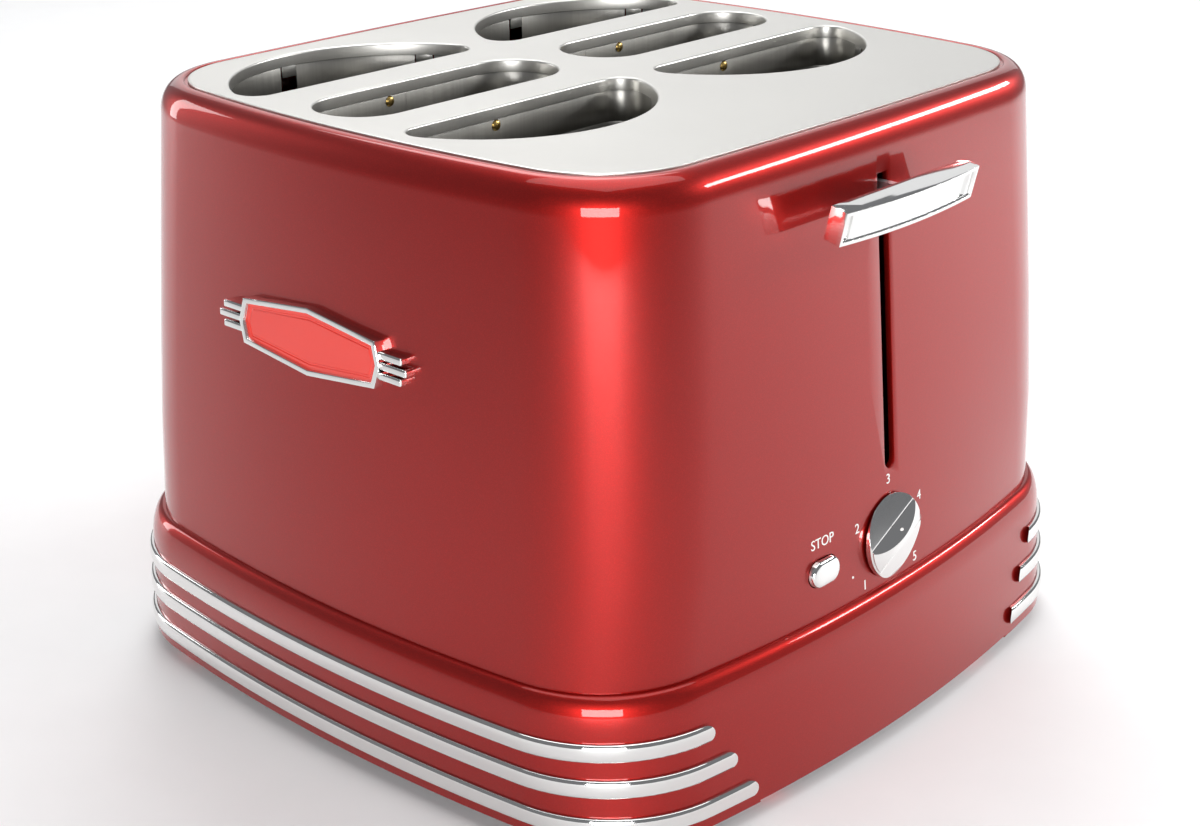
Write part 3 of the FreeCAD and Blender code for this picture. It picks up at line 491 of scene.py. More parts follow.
class Plan:
    # four bowed sides joined by four tangent corner arcs

    def __init__(self, halfX, halfY, radiusX, radiusY, corner):
        self.sizes = (halfX, halfY, radiusX, radiusY, corner)
        self.halfX, self.halfY, self.radiusX = halfX, halfY, radiusX
        self.centreX = halfX - radiusX
        self.centreY = halfY - radiusY
        apart = math.hypot(self.centreX, self.centreY)
        reachX = radiusX - corner
        reachY = radiusY - corner
        along = (reachX ** 2 - reachY ** 2 + apart ** 2) / (2 * apart)
        across = math.sqrt(reachX ** 2 - along ** 2)
        self.cornerX = self.centreX - self.centreX / apart * along - self.centreY / apart * across
        self.cornerY = self.centreY / apart * along - self.centreX / apart * across
        self.sideTurn = math.atan2(self.cornerY, self.cornerX - self.centreX)
        self.frontTurn = math.atan2(self.cornerY - self.centreY, self.cornerX)

    def grown(self, by):
        return Plan(*[size + by for size in self.sizes])

    def toward(self, other, share):
        return Plan(*[a * (1 - share) + b * share for a, b in zip(self.sizes, other.sizes)])

    def around(self, z, sideSteps=22, cornerSteps=18, frontSteps=22):
        # traces the whole outline at height z
        side = 2 * self.sideTurn
        corner = self.frontTurn - self.sideTurn
        front = math.pi - 2 * self.frontTurn
        start = (self.centreX + self.radiusX * math.cos(self.sideTurn),
                 -self.radiusX * math.sin(self.sideTurn), z)
        moves = []
        for sign in (1, -1):
            x, y = sign * self.cornerX, sign * self.cornerY
            moves += [
                ("turn", (sign * self.centreX, 0, z), side, sideSteps, upAxis),
                ("turn", (x, y, z), corner, cornerSteps, upAxis),
                ("turn", (0, sign * self.centreY, z), front, frontSteps, upAxis),
                ("turn", (-x, y, z), corner, cornerSteps, upAxis),
            ]
        trace(start, moves)

    def wrap(self, z, endY, cornerSteps=16, frontSteps=26, sideSteps=6):
        # traces round both front corners, ending on the sides at -endY
        end = math.asin(endY / self.radiusX)
        corner = self.frontTurn - self.sideTurn
        front = math.pi - 2 * self.frontTurn
        x, y = self.cornerX, self.cornerY
        start = (-self.centreX - self.radiusX * math.cos(end), -endY, z)
        trace(start, [
            ("turn", (-self.centreX, 0, z), self.sideTurn - end, sideSteps, upAxis),
            ("turn", (-x, -y, z), corner, cornerSteps, upAxis),
            ("turn", (0, -self.centreY, z), front, frontSteps, upAxis),
            ("turn", (x, -y, z), corner, cornerSteps, upAxis),
            ("turn", (self.centreX, 0, z), self.sideTurn - end, sideSteps, upAxis),
        ], closed=False)

    def leftSide(self, z, halfWidth, steps=28):
        # traces the left side from +halfWidth to -halfWidth
        end = math.asin(halfWidth / self.radiusX)
        start = (-self.centreX - self.radiusX * math.cos(end), halfWidth, z)
        trace(start, [("turn", (-self.centreX, 0, z), 2 * end, steps, upAxis)], closed=False)


def bowedPlan(halfX, halfY, bowX, bowY, corner):
    # half sizes at the middles, how far each side bows out, and the corner radius, in mm
    halfX, halfY, bowX, bowY, corner = [v * mm for v in (halfX, halfY, bowX, bowY, corner)]
    return Plan(halfX, halfY, (halfY ** 2 + bowX ** 2) / (2 * bowX),
                (halfX ** 2 + bowY ** 2) / (2 * bowY), corner)


platePlan = bowedPlan(119.5, 131.5, 3.0, 10.5, 38.0)
seamPlan = bowedPlan(144.9, 152.9, 17.3, 15.1, 51.2)
skirtLowPlan = bowedPlan(155.0, 157.2, 18.0, 15.5, 54.0)
skirtHighPlan = bowedPlan(150.3, 157.9, 18.0, 15.5, 54.0)
level = lengths(plateTop=236.0, plateUnder=234.8, rimTop=235.8, shoulder=224.2, seam=61.5,
                skirtShoulder=48.0, skirtLow=2.5)
housing = lengths(plateGap=1.2, shoulderRound=9.8, wall=2.4, lipRound=1.0, lipDrop=0.8, ledge=4.0,
                  ledgeThick=2.4, ledgeCorner=3.0, slotY=3.0, slotWidth=6.2, slotLow=109.1,
                  slotHigh=216.5, slotDeep=60.0, slotBevel=0.4, edgeDepth=0.6)
housing |= {"shoulderSteps": 9, "wallShares": (0.0, 0.004, 0.25, 0.5, 0.75)}
rimPlan = platePlan.grown(housing["plateGap"])
housingTop = rimPlan.grown(housing["shoulderRound"])


def housingAt(z):
    return seamPlan.toward(housingTop, (z - level["seam"]) / (level["shoulder"] - level["seam"]))


def skirtAt(z):
    share = (z - level["skirtLow"]) / (level["skirtShoulder"] - level["skirtLow"])
    return skirtLowPlan.toward(skirtHighPlan, share)


def fallenBack(plan, y):
    # how far the bowed side wall has fallen back from its middle at y
    return plan.radiusX - math.sqrt(plan.radiusX ** 2 - y ** 2)


def ringed(name, rings, loop=True):
    # bridges whole outlines, given as (plan, height)
    return bridged(name, [lambda plan=plan, z=z: plan.around(z) for plan, z in rings], loop)


def quarterRings(inner, outer, low, high, steps):
    # a quarter round from the outer plan at low to the inner plan at high
    rings = []
    for step in range(steps + 1):
        turn = math.pi / 2 * step / steps
        rings.append((inner.toward(outer, math.cos(turn)), low + (high - low) * math.sin(turn)))
    return rings


def housingRings():
    # up the outer wall, over the rolled shoulder and its lip, and down inside
    shoulder, seam, under = level["shoulder"], level["seam"], level["plateUnder"]
    inner = housingTop.grown(-housing["wall"])
    ledgePlan = platePlan.grown(-housing["ledge"])
    heights = [seam + share * (shoulder - seam) for share in housing["wallShares"]]
    rings = [(housingAt(z), z) for z in heights]
    rings += quarterRings(rimPlan.grown(housing["lipRound"]), housingTop, shoulder,
                          level["rimTop"], housing["shoulderSteps"])
    for turn in (30, 60, 90):
        inset = housing["lipRound"] * (1 - math.sin(math.radians(turn)))
        drop = housing["lipDrop"] * (1 - math.cos(math.radians(turn)))
        rings.append((rimPlan.grown(inset), level["rimTop"] - drop))
    ledgeLow = under - housing["ledgeThick"]
    return rings + [(rimPlan, under), (ledgePlan, under), (ledgePlan, ledgeLow),
                    (inner.grown(-housing["ledgeCorner"]), ledgeLow), (inner, shoulder),
                    (seamPlan.grown(-housing["wall"]), seam)]


def buildHousing():
    shell = ringed("housingShell", housingRings())
    outward()
    half = housing["slotWidth"] / 2
    y, low, high = housing["slotY"], housing["slotLow"], housing["slotHigh"]
    carved(shell, prism("slotCutter", (inside, y - half, high), [
        ("go", (0, 0, low - high), 8),
        ("turn", (inside, y, low), math.pi, 14, outAxis),
        ("go", (0, 0, high - low), 8),
        ("go", (0, -2 * half, 0), 1),
    ], (housing["slotDeep"], 0, 0)))

    def slotEdge(e):
        # where the outer wall meets the slot's sides
        spot = middle(e)
        if len(e.link_faces) != 2 or spot.x < inside or abs(spot.y - y) > half + 10 * touch:
            return False
        across, out = sorted(abs(f.normal.x) for f in e.link_faces)
        plan = housingAt(spot.z)
        wallX = plan.halfX - fallenBack(plan, spot.y)
        return across < 0.3 and out > 0.9 and spot.x > wallX - housing["edgeDepth"]

    editing(shell)
    choose("EDGE", slotEdge)
    bpy.ops.mesh.bevel(offset=housing["slotBevel"], segments=2, affect="EDGES")
    return shell


# the controls' place on the right wall: its face, height and tilt, and what lies on it
panel = lengths(x=143.27, z=80.0, knobY=1.5, shaftHole=3.6, stopY=-39.0, stopUp=-0.4,
                stopLength=16.0, stopHeight=10.0, stopGap=0.4)
panel |= {"tilt": math.radians(5.06)}
panelPlan = housingAt(panel["z"])


def onPanel(piece):
    # from panel coordinates (x out of the wall, z up it) to the toaster's
    placed(piece, (panel["x"], 0, panel["z"]), (0, -panel["tilt"], 0))


def oval(name, grow, x, depth, steps):
    # the stop button's outline, grown and drawn out along x
    y, z = panel["stopY"], panel["stopUp"]
    radius = panel["stopHeight"] / 2 + grow
    reach = (panel["stopLength"] - panel["stopHeight"]) / 2
    return prism(name, (x, y + reach, z - radius), [
        ("turn", (x, y + reach, z), math.pi, steps, outAxis),
        ("go", (0, -2 * reach, 0), 4),
        ("turn", (x, y - reach, z), math.pi, steps, outAxis),
        ("go", (0, 2 * reach, 0), 4),
    ], (depth, 0, 0))


def cutControlHoles(shell):
    through = 10 * mm
    holes = [oval("stopHole", panel["stopGap"], -through, 2 * through, 14),
             cylinder(panel["shaftHole"], 2 * through, (0, panel["knobY"], 0), 32, outTurn)]
    for hole in holes:
        onPanel(hole)
        carved(shell, hole)


shell = buildHousing()
cutControlHoles(shell)
finished(shell, "base", "red_enamel", ["outer_housing"], 40)
print("housing made")

skirt = lengths(wall=2.4, step=0.5, flange=12.0, thick=2.4, low=6.0, edge=0.5, ringRise=15.0,
                panelHalf=82.0, panelLow=7.2, trayHalf=70.5, trayLow=8.7, trayHigh=22.7,
                cordX=-60.0, cordHalf=6.0, cordFrom=130.0, cordHigh=8.9)
skirt |= {"steps": 8}


def buildSkirt():
    wall, low, rise = skirt["wall"], skirt["low"], skirt["ringRise"]
    high, seam = level["skirtShoulder"], level["seam"]
    flangePlan = seamPlan.grown(-skirt["flange"])
    rings = [(skirtAt(low).grown(-skirt["edge"]), low)]
    rings += [(skirtAt(z), z) for z in (low + skirt["edge"], low + rise, low + 2 * rise)]
    rings += quarterRings(seamPlan.grown(skirt["step"]), skirtAt(high), high, seam, skirt["steps"])
    under = seam - skirt["thick"]
    rings += [(flangePlan, seam), (flangePlan, under), (seamPlan.grown(-wall), under),
              (skirtAt(high).grown(-wall), high), (skirtAt(low).grown(-wall), low)]
    base = ringed("baseSkirt", rings)
    outward()
    half, tray = skirt["panelHalf"], skirt["trayHalf"]
    left, right = skirt["cordX"] - skirt["cordHalf"], skirt["cordX"] + skirt["cordHalf"]
    carved(base, block((-far, -half, -far), (far, half, skirt["panelLow"])))
    carved(base, block((-far, -tray, skirt["trayLow"]), (-inside, tray, skirt["trayHigh"])))
    carved(base, block((left, skirt["cordFrom"], 0), (right, far, skirt["cordHigh"])))
    return base


finished(buildSkirt(), "base", "red_enamel", ["base_skirt"], 40)
print("base made")

strip = lengths(half=3.5, edge=0.5, proud=1.7, sunk=0.4)
strip |= {"points": 11, "endRound": 0.94}
stripPlaces = {"upper": (42.3 * mm, 102.5 * mm), "middle": (28.6 * mm, 93.0 * mm),
               "lower": (13.9 * mm, 84.0 * mm)}  # height and where it ends on the sides


def buildStrip(name, z, endY):
    # one line along the strip for each point of its domed section
    half = strip["half"]
    outline = skirtAt(z)
    lines = [(-1.0, -strip["sunk"])]
    for point in range(strip["points"]):
        up = -math.cos(math.pi * point / (strip["points"] - 1))
        bulge = (1 - abs(up) ** 3) ** 0.5
        lines.append((up, strip["edge"] + (strip["proud"] - strip["edge"]) * bulge))
    lines.append((1.0, -strip["sunk"]))
    rings = []
    for up, out in lines:
        end = endY + half - half * math.sqrt(max(0.0, 1 - up ** 2)) * strip["endRound"]
        rings.append(lambda up=up, out=out, end=end:
                     outline.grown(out).wrap(z + up * half, end))
    bar = bridged(name, rings, loop=True)
    for side in (-1, 1):
        capped(lambda e: side * middle(e).x > 0)
    outward()
    return bar


for height, (z, endY) in stripPlaces.items():
    front = buildStrip("frontStrip_" + height, z, endY)
    rear = copied(front, "rearStrip_" + height)
    mirrored(rear, (1, -1, 1))
    for end, piece in (("front", front), ("rear", rear)):
        finished(piece, "base", "chrome", [end + "_strip_" + height], 50)
print("strips made")

row = {"y": 65.1 * mm, "half": 56.2 * mm}
bun = lengths(depth=49.2, radius=61.6, tip=8.5, leftChord=-59.1, rightChord=16.7)
bun |= {"tipSteps": 7, "notchAngle": 54.0, "notchHalf": 3.72, "arcCounts": (3, 2, 12, 2, 12, 2, 3),
        "chordRuns": ((15.8, 2), (66.0, 6), (15.8, 2))}
sausage = {"x": -21.3 * mm, "width": 36.6 * mm}
bun["arcX"] = bun["depth"] - bun["radius"]
bun["tipY"] = math.sqrt((bun["radius"] - bun["tip"]) ** 2 - (bun["tip"] - bun["arcX"]) ** 2)
bun["turn"] = math.atan2(bun["tipY"], bun["tip"] - bun["arcX"])


def bunRing(chord, side, middleY, grow, z):
    # a straight chord, a large arc with stops at its three notches, and two tip arcs

    def place(x, y):
        return (chord + side * x, middleY + y, z)

    turn = math.degrees(bun["turn"])
    notch, half = bun["notchAngle"], bun["notchHalf"]
    stops = [-turn, -notch - half, -notch + half, -half, half, notch - half, notch + half, turn]
    radius = bun["radius"] + grow
    start = place(bun["arcX"] + radius * math.cos(bun["turn"]), -radius * math.sin(bun["turn"]))
    moves = [("turn", place(bun["arcX"], 0), side * math.radians(b - a), count, upAxis)
             for a, b, count in zip(stops, stops[1:], bun["arcCounts"])]
    tipAngle = side * (math.pi - bun["turn"])
    moves.append(("turn", place(bun["tip"], bun["tipY"]), tipAngle, bun["tipSteps"], upAxis))
    scale = 2 * bun["tipY"] / sum(run for run, count in bun["chordRuns"])
    for run, count in bun["chordRuns"]:
        moves.append(("go", (0, -run * scale, 0), count))
    moves.append(("turn", place(bun["tip"], -bun["tipY"]), tipAngle, bun["tipSteps"], upAxis))
    trace(start, moves)


def sausageRing(middleY, grow, z):
    x = sausage["x"]
    radius = sausage["width"] / 2 + grow
    reach = row["half"] - sausage["width"] / 2
    trace((x + radius, middleY + reach, z), [
        ("turn", (x, middleY + reach, z), math.pi, 18, upAxis),
        ("go", (0, -2 * reach, 0), 8),
        ("turn", (x, middleY - reach, z), math.pi, 18, upAxis),
        ("go", (0, 2 * reach, 0), 8),
    ])


# each opening's ring, and each bun opening's chord, side and middle
openings = {}
bunPlaces = {}
for end, y in (("front", -row["y"]), ("back", row["y"])):
    for hand, side in (("left", -1), ("right", 1)):
        place = (bun[hand + "Chord"], side, y)
        bunPlaces[end + "_" + hand] = place
        openings["bun", end + "_" + hand] = (
            lambda grow, z, place=place: bunRing(*place, grow, z))
    openings["sausage", end] = lambda grow, z, y=y: sausageRing(y, grow, z)

steel = lengths(edge=0.4, edgeMiddle=0.12, rim=1.2, lip=0.8, lipRoom=0.6, collarLow=231.3,
                sheet=0.8, tabDrop=4.5, tabWidth=7.0, tabRise=0.5, tabRound=0.3)
steel |= {"lipSteps": 4}


def buildCollar(ring):
    # the lip rolled into an opening and the collar below it
    lip, low = steel["lip"], steel["collarLow"]
    levels = [(lip + steel["lipRoom"], level["plateTop"])]
    for step in range(steel["lipSteps"] + 1):
        turn = math.pi / 2 * step / steel["lipSteps"]
        levels.append((lip * (1 - math.sin(turn)), level["plateTop"] - lip * (1 - math.cos(turn))))
    levels += [(0, low), (steel["sheet"], low), (steel["sheet"], level["plateUnder"])]
    return bridged("collar", [lambda grow=grow, z=z: ring(grow, z) for grow, z in levels])


def buildTop():
    top, under, edge = level["plateTop"], level["plateUnder"], steel["edge"]
    plate = ringed("plateEdge", [
        (platePlan, under), (platePlan, top - edge),
        (platePlan.grown(-steel["edgeMiddle"]), top - steel["edgeMiddle"]),
        (platePlan.grown(-edge), top), (platePlan.grown(-steel["rim"]), top)], loop=False)
    plate = together([plate] + [buildCollar(ring) for ring in openings.values()], "steelTop")
    editing(plate)
    for z in (top, under):
        choose("EDGE", lambda e: len(e.link_faces) == 1 and abs(middle(e).z - z) < touch)
        bpy.ops.mesh.fill(use_beauty=True)
    outward()
    tabs = []
    for chord, side, y in bunPlaces.values():
        for angle in (-bun["notchAngle"], 0, bun["notchAngle"]):
            half, low = steel["tabWidth"] / 2, steel["collarLow"]
            tab = block((bun["radius"], -half, low - steel["tabDrop"]),
                        (bun["radius"] + steel["sheet"], half, low + steel["tabRise"]))
            rounded(tab, steel["tabRound"], 2)
            turn = math.radians(angle if side > 0 else 180 - angle)
            placed(tab, (chord + side * bun["arcX"], y, 0), (0, 0, turn))
            tabs.append(tab)
    return together([plate] + tabs, "steelTop")


finished(buildTop(), "base", "brushed_steel", ["top_plate"], 30)
print("steel top made")

well = lengths(low=63.5, high=231.4, sheet=0.8, offset=1.6, bead=1.2, beadZ=215.0, notchLow=220.6,
               windowLow=95.0, windowHigh=205.0, windowHalf=33.0, armX=16.0, armSlot=5.0,
               armSlotHigh=176.0, armCut=8.0, clear=1.0)
beadSteps = ((0, -4.2), (0.8, -2.6), (1, 0), (0.8, 2.4), (0, 3.8))  # share of its depth, height
mouthSteps = ((0, 1.0), (0.3, 0.3), (1.4, 0))  # flare and depth below the top


def buildWell(kind, place, ring):
    levels = [(0, well["low"]), (0, well["windowLow"]), (0, well["windowHigh"])]
    levels += [(-well["bead"] * share, well["beadZ"] + up * mm) for share, up in beadSteps]
    levels.append((0, well["notchLow"]))
    levels += [(flare * mm, well["high"] - down * mm) for flare, down in mouthSteps]
    piece = bridged("%sWell_%s" % (kind, place),
                    [lambda grow=grow, z=z: ring(well["offset"] + grow, z) for grow, z in levels])
    if kind == "bun":
        chord, side, middleY = bunPlaces[place]
        armX = chord + side * well["armX"]

        def notched(f):
            centre = f.calc_center_median()
            if centre.z < well["notchLow"]:
                return False
            x, y = (centre.x - chord) * side - bun["arcX"], centre.y - middleY
            angle = math.degrees(math.atan2(y, x))
            near = min(abs(angle - a) for a in (-bun["notchAngle"], 0, bun["notchAngle"]))
            onArc = math.hypot(x, y) > bun["radius"] - well["clear"]
            return onArc and near < bun["notchHalf"]

        choose("FACE", notched)
        bpy.ops.mesh.delete(type="FACE")
    else:
        middleY = -row["y"] if place == "front" else row["y"]
        armX = sausage["x"]

    def windowed(f):
        centre = f.calc_center_median()
        if not well["windowLow"] < centre.z < well["windowHigh"]:
            return False
        return abs(f.normal.x) > 0.999 and abs(centre.y - middleY) < well["windowHalf"]

    choose("FACE", windowed)
    bpy.ops.mesh.delete(type="FACE")
    outward()
    applied(piece, "SOLIDIFY", thickness=well["sheet"], offset=1.0)
    innerY = middleY + math.copysign(row["half"], -middleY)
    half = well["armSlot"] / 2
    carved(piece, block((armX - half, innerY - well["armCut"], well["low"] - well["clear"]),
                        (armX + half, innerY + well["armCut"], well["armSlotHigh"])))
    finished(piece, "base", "well_steel", ["%s_well_%s" % (kind, place)], 30)


for (kind, place), ring in openings.items():
    buildWell(kind, place, ring)
print("wells made")

rivet = lengths(radius=2.1, proud=0.9, z=228.8, beside=8.0)
rivet |= {"crown": ((0.3, 0.4), (0.4, 0.25), (0.5, 0.15))}


def buildRivet():
    piece = cylinder(rivet["radius"], rivet["proud"], (0, 0, 0), 24, outTurn)
    editing(piece)
    choose("FACE", facing(outAxis))
    stepped(rivet["crown"])
    outward()
    return piece


rivets = []
firstRivet = buildRivet()
for wallX in (bun["rightChord"], sausage["x"] - sausage["width"] / 2):
    for y in (-row["y"], row["y"]):
        twin = copied(firstRivet, "rivet")
        placed(twin, (wallX - well["offset"] + rivet["proud"] / 2, y - rivet["beside"],
                      rivet["z"]))
        rivets.append(twin)
bpy.data.objects.remove(firstRivet)
finished(together(rivets, "brassRivets"), "base", "brass", ["terminal_rivets"])

badge = lengths(x=-4.0, z=162.0, half=37.6, high=12.5, kneeX=35.1, kneeZ=8.5, proud=3.4, buried=5.0,
                border=2.0, slope=0.25, sink=1.2, under=0.4, gap=0.2, round=0.3)
badge |= {"groove": ((1.5, 0), (0.35, -0.25), (0.5, 0), (0.35, 0.25))}
badge["wall"] = housingAt(badge["z"]).halfY
badge["lean"] = math.atan((seamPlan.halfY - housingTop.halfY) / (level["shoulder"] - level["seam"]))


def onFront(piece):
    # from badge coordinates (y into the wall, z up it) to the toaster's
    placed(piece, (badge["x"], -badge["wall"], badge["z"]), (-badge["lean"], 0, 0))


def badgeSlab(name, inset, proud):
    # a long lozenge with a knee near each end, left with its front face selected
    across = 1 - inset / badge["half"]
    up = 1 - inset / badge["high"]
    half, high = badge["half"] * across, badge["high"] * up
    kneeX, kneeZ = badge["kneeX"] * across, badge["kneeZ"] * up
    corners = [(-half, 0), (-kneeX, -kneeZ), (0, -high), (kneeX, -kneeZ),
               (half, 0), (kneeX, kneeZ), (0, high), (-kneeX, kneeZ)]
    moves = [("go", (x1 - x0, 0, z1 - z0), 3)
             for (x0, z0), (x1, z1) in zip(corners, corners[1:] + corners[:1])]
    slab = prism(name, (-half, badge["buried"], 0), moves, (0, -badge["buried"] - proud, 0))
    choose("FACE", facing((0, -1, 0)))
    return slab


def buildBadge():
    slab = badgeSlab("badgeFrame", 0, badge["proud"])
    bpy.ops.mesh.inset(thickness=badge["border"])
    bpy.ops.mesh.inset(thickness=badge["slope"], depth=-badge["sink"] - badge["under"])
    rounded(slab, badge["round"], 3, 20)
    plate = badgeSlab("badgeInlay", badge["border"] + badge["gap"], badge["proud"] - badge["sink"])
    stepped(badge["groove"])
    onFront(slab)
    onFront(plate)
    return slab, plate


bars = lengths(pitch=3.7, thick=2.8, proud=2.6, inner=36.1, end=50.0, shorter=2.4, sunk=4.6,
               round=0.75)


def buildBars():
    # three beside each end of the badge, the middle one longest
    made = []
    for side in (-1, 1):
        for line in (-1, 0, 1):
            end = bars["end"] - abs(line) * bars["shorter"]
            z, half = line * bars["pitch"], bars["thick"] / 2
            bar = block((bars["inner"], -bars["proud"], z - half), (end, bars["sunk"], z + half))
            rounded(bar, bars["round"], 5)
            if side < 0:
                mirrored(bar, (-1, 1, 1))
            made.append(bar)
    piece = together(made, "badgeBars")
    onFront(piece)
    return piece


badgeFrame, badgeInlay = buildBadge()
finished(badgeFrame, "base", "chrome", ["badge_frame"], 25)
finished(badgeInlay, "base", "badge_red", ["badge_plate"], 25)
finished(buildBars(), "base", "chrome", ["badge_bars"])
print("badge made")

lever = lengths(y=-4.8, z=211.1, backX=141.2, width=80.5, height=12.4, depth=6.7, bow=2.2, bead=1.3,
                slope=0.35, recess=0.8, wall=2.6, hollow=1.6, round=0.35, grooveEnds=0.9,
                grooveDepth=1.4)
lever |= {"lean": math.radians(13.0), "grooves": [(-37.2 * mm, 3.0 * mm), (33.4 * mm, 5.4 * mm)]}


def buildLever():
    half = lever["width"] / 2
    depth, bow, height = lever["depth"], lever["bow"], lever["height"]
    radius = (half ** 2 + bow ** 2) / (2 * bow)
    centre = (depth + bow - radius, 0, -height / 2)
    angle = 2 * math.asin(half / radius)
    piece = prism("leverHandle", (0, -half, -height / 2), [
        ("go", (depth, 0, 0), 3), ("turn", centre, angle, 36, upAxis),
        ("go", (-depth, 0, 0), 3), ("go", (0, -2 * half, 0), 12)], (0, 0, height))
    front = depth - touch
    choose("FACE", lambda f: f.normal.x > 0.5 and f.calc_center_median().x > front)
    bpy.ops.mesh.inset(thickness=lever["bead"])
    bpy.ops.mesh.inset(thickness=lever["slope"], depth=-lever["recess"])
    choose("FACE", facing((-1, 0, 0)))
    bpy.ops.mesh.inset(thickness=lever["wall"])
    drawnOut((lever["hollow"], 0, 0))
    outward()
    for y, width in lever["grooves"]:
        # a shallow round groove across the recessed front
        deep = lever["grooveDepth"]
        curve = (width ** 2 / 4 + deep ** 2) / (2 * deep)
        x = centre[0] + math.sqrt(radius ** 2 - y ** 2) - lever["recess"] - deep + curve
        carved(piece, cylinder(curve, height - 2 * lever["bead"] - lever["grooveEnds"],
                               (x, y, 0), 96))
    rounded(piece, lever["round"], 3, 35)
    x = lever["backX"] + height / 2 * math.sin(lever["lean"])
    placed(piece, (x, lever["y"], lever["z"]), (0, lever["lean"], 0))
    return piece


finished(buildLever(), "carriage", "chrome", ["lever_handle"], 30)
print("lever made")

# dot is the radius of the white sphere that paints a highlight on the grip's flank
knob = lengths(radius=16.3, standoff=0.5, disc=2.7, chamfer=0.4, discRound=0.35, barHalf=5.6,
               crestHalf=0.8, barEdge=0.2, barMiddle=3.9, barInset=0.6, barSunk=0.2, barRound=0.2,
               scoop=0.4, land=0.5, dot=0.6, dotY=1.6)
knob |= {"facet": math.radians(13.5), "angle": math.radians(24.0), "steps": 96,
         "glintRise": 0.56, "glintSide": 0.46}  # shares of the grip's height and half width
knob["face"] = knob["standoff"] + knob["disc"]
wide = 30 * mm  # beyond the knob, for its cutters


def onShaft(piece):
    # from knob coordinates, with the grip along y, to its resting turn on the wall
    placed(piece, (0, 0, 0), (knob["angle"], 0, 0))
    placed(piece, (0, panel["knobY"], 0))
    onPanel(piece)


def buildDisc():
    radius, chamfer, face = knob["radius"], knob["chamfer"], knob["face"]
    disc = newPiece("knobDisc")
    trace((knob["standoff"], 0, 0), [
        ("go", (0, 0, radius - chamfer), 2), ("go", (chamfer, 0, chamfer), 1),
        ("go", (knob["disc"] - 2 * chamfer, 0, 0), 1), ("go", (chamfer, 0, -chamfer), 2),
        ("go", (0, 0, chamfer - radius), 3)], closed=False)
    spun(knob["steps"], outAxis)
    outward()
    for side in (-1, 1):
        # its face slopes away from the grip on both sides
        cutter = block((0, -2 * wide, -2 * wide), (wide, 2 * wide, 2 * wide))
        placed(cutter, (0, 0, 0), (0, -side * knob["facet"], 0))
        placed(cutter, (face, 0, side * (knob["barHalf"] + knob["land"])))
        carved(disc, cutter)
    rounded(disc, knob["discRound"], 3, 50)
    return disc


def buildGrip():
    # a dome cut to a bar with a scooped flank on each side
    radius, face, half = knob["radius"], knob["face"], knob["barHalf"]
    rise = knob["barMiddle"] - knob["barEdge"]
    dome = (radius ** 2 + rise ** 2) / (2 * rise)
    top = face + knob["barMiddle"]
    angle = math.asin((radius - knob["barInset"]) / dome)
    edgeX = top - dome * (1 - math.cos(angle))
    bar = newPiece("knobBar")
    trace((top, 0, 0), [
        ("turn", (top - dome, 0, 0), angle, 16, (0, 1, 0)),
        ("go", (face - knob["barSunk"] - edgeX, 0, 0), 2)], closed=False)
    spun(knob["steps"], outAxis)
    capped()
    outward()
    run = half - knob["crestHalf"]
    chord = math.hypot(run, knob["barMiddle"])
    scoop = (chord ** 2 / 4 + knob["scoop"] ** 2) / (2 * knob["scoop"])
    away = (scoop - knob["scoop"]) / chord
    x = face + knob["barMiddle"] / 2 + run * away
    z = (half + knob["crestHalf"]) / 2 + knob["barMiddle"] * away
    for side in (-1, 1):
        carved(bar, cylinder(scoop, 2 * wide, (x, 0, side * z), 128, (math.pi / 2, 0, 0)))
        near, beyond = sorted((side * half, side * wide))
        carved(bar, block((-wide, -wide, near), (wide, wide, beyond)))
    rounded(bar, knob["barRound"], 3, 40)
    return bar


def buildKnob():
    piece = together([buildDisc(), buildGrip()], "controlKnob")
    onShaft(piece)
    return piece


stop = lengths(deep=4.0, proud=2.2, crownHigh=0.9)
stop |= {"crown": ((0.35, 0.5), (0.6, 0.28), (1.2, 0.16), (1.6, 0.06))}


def buildStop():
    front = stop["proud"] - fallenBack(panelPlan, panel["stopY"])
    piece = oval("stopButton", 0, -stop["deep"], stop["deep"] + front - stop["crownHigh"], 30)
    choose("FACE", facing(outAxis))
    stepped(stop["crown"])
    outward()
    onPanel(piece)
    return piece


finished(buildKnob(), "knob", "chrome", ["control_knob"], 11.5)
finished(buildStop(), "stop", "chrome", ["stop_button"], 50)


def buildPaintedGlint():
    # a small white sphere on the grip's flank, a painted highlight where the grip catches light
    nothingSelected()
    bpy.ops.mesh.primitive_uv_sphere_add(segments=20, ring_count=12, radius=knob["dot"])
    piece = settled()
    piece.name = "knobPaintedGlint"
    lift = knob["face"] + knob["barMiddle"] * knob["glintRise"]
    placed(piece, (lift, knob["dotY"], knob["barHalf"] * knob["glintSide"]))
    onShaft(piece)
    return piece


# the white on this sphere is a painted highlight, not a printed mark
finished(buildPaintedGlint(), "knob", "chrome", finish=printAndGlintWhite)
print("knob and button made")

marks = lengths(height=3.9, ring=22.0, thick=0.12, clear=0.02, stopZ=11.0, offY=-22.0, offZ=-9.0,
                offRadius=0.5)
marks |= {"sizeShare": 1.4, "angles": {"1": 222.0, "2": 156.0, "3": 90.0, "4": 24.0, "5": -42.0}}


def printed(text, y, z):
    nothingSelected()
    bpy.ops.object.text_add()
    letters = bpy.context.object.data
    letters.body = text
    letters.align_x = "CENTER"
    letters.align_y = "CENTER"
    letters.size = marks["height"] * marks["sizeShare"]
    letters.extrude = marks["thick"]
    letters.resolution_u = 4
    bpy.ops.object.convert(target="MESH")
    piece = bpy.context.object
    turn = math.pi / 2 + math.asin(y / panelPlan.radiusX)
    placed(piece, (0, 0, 0), (math.pi / 2, 0, turn))
    placed(piece, (marks["clear"] - fallenBack(panelPlan, y), y, z))
    return piece


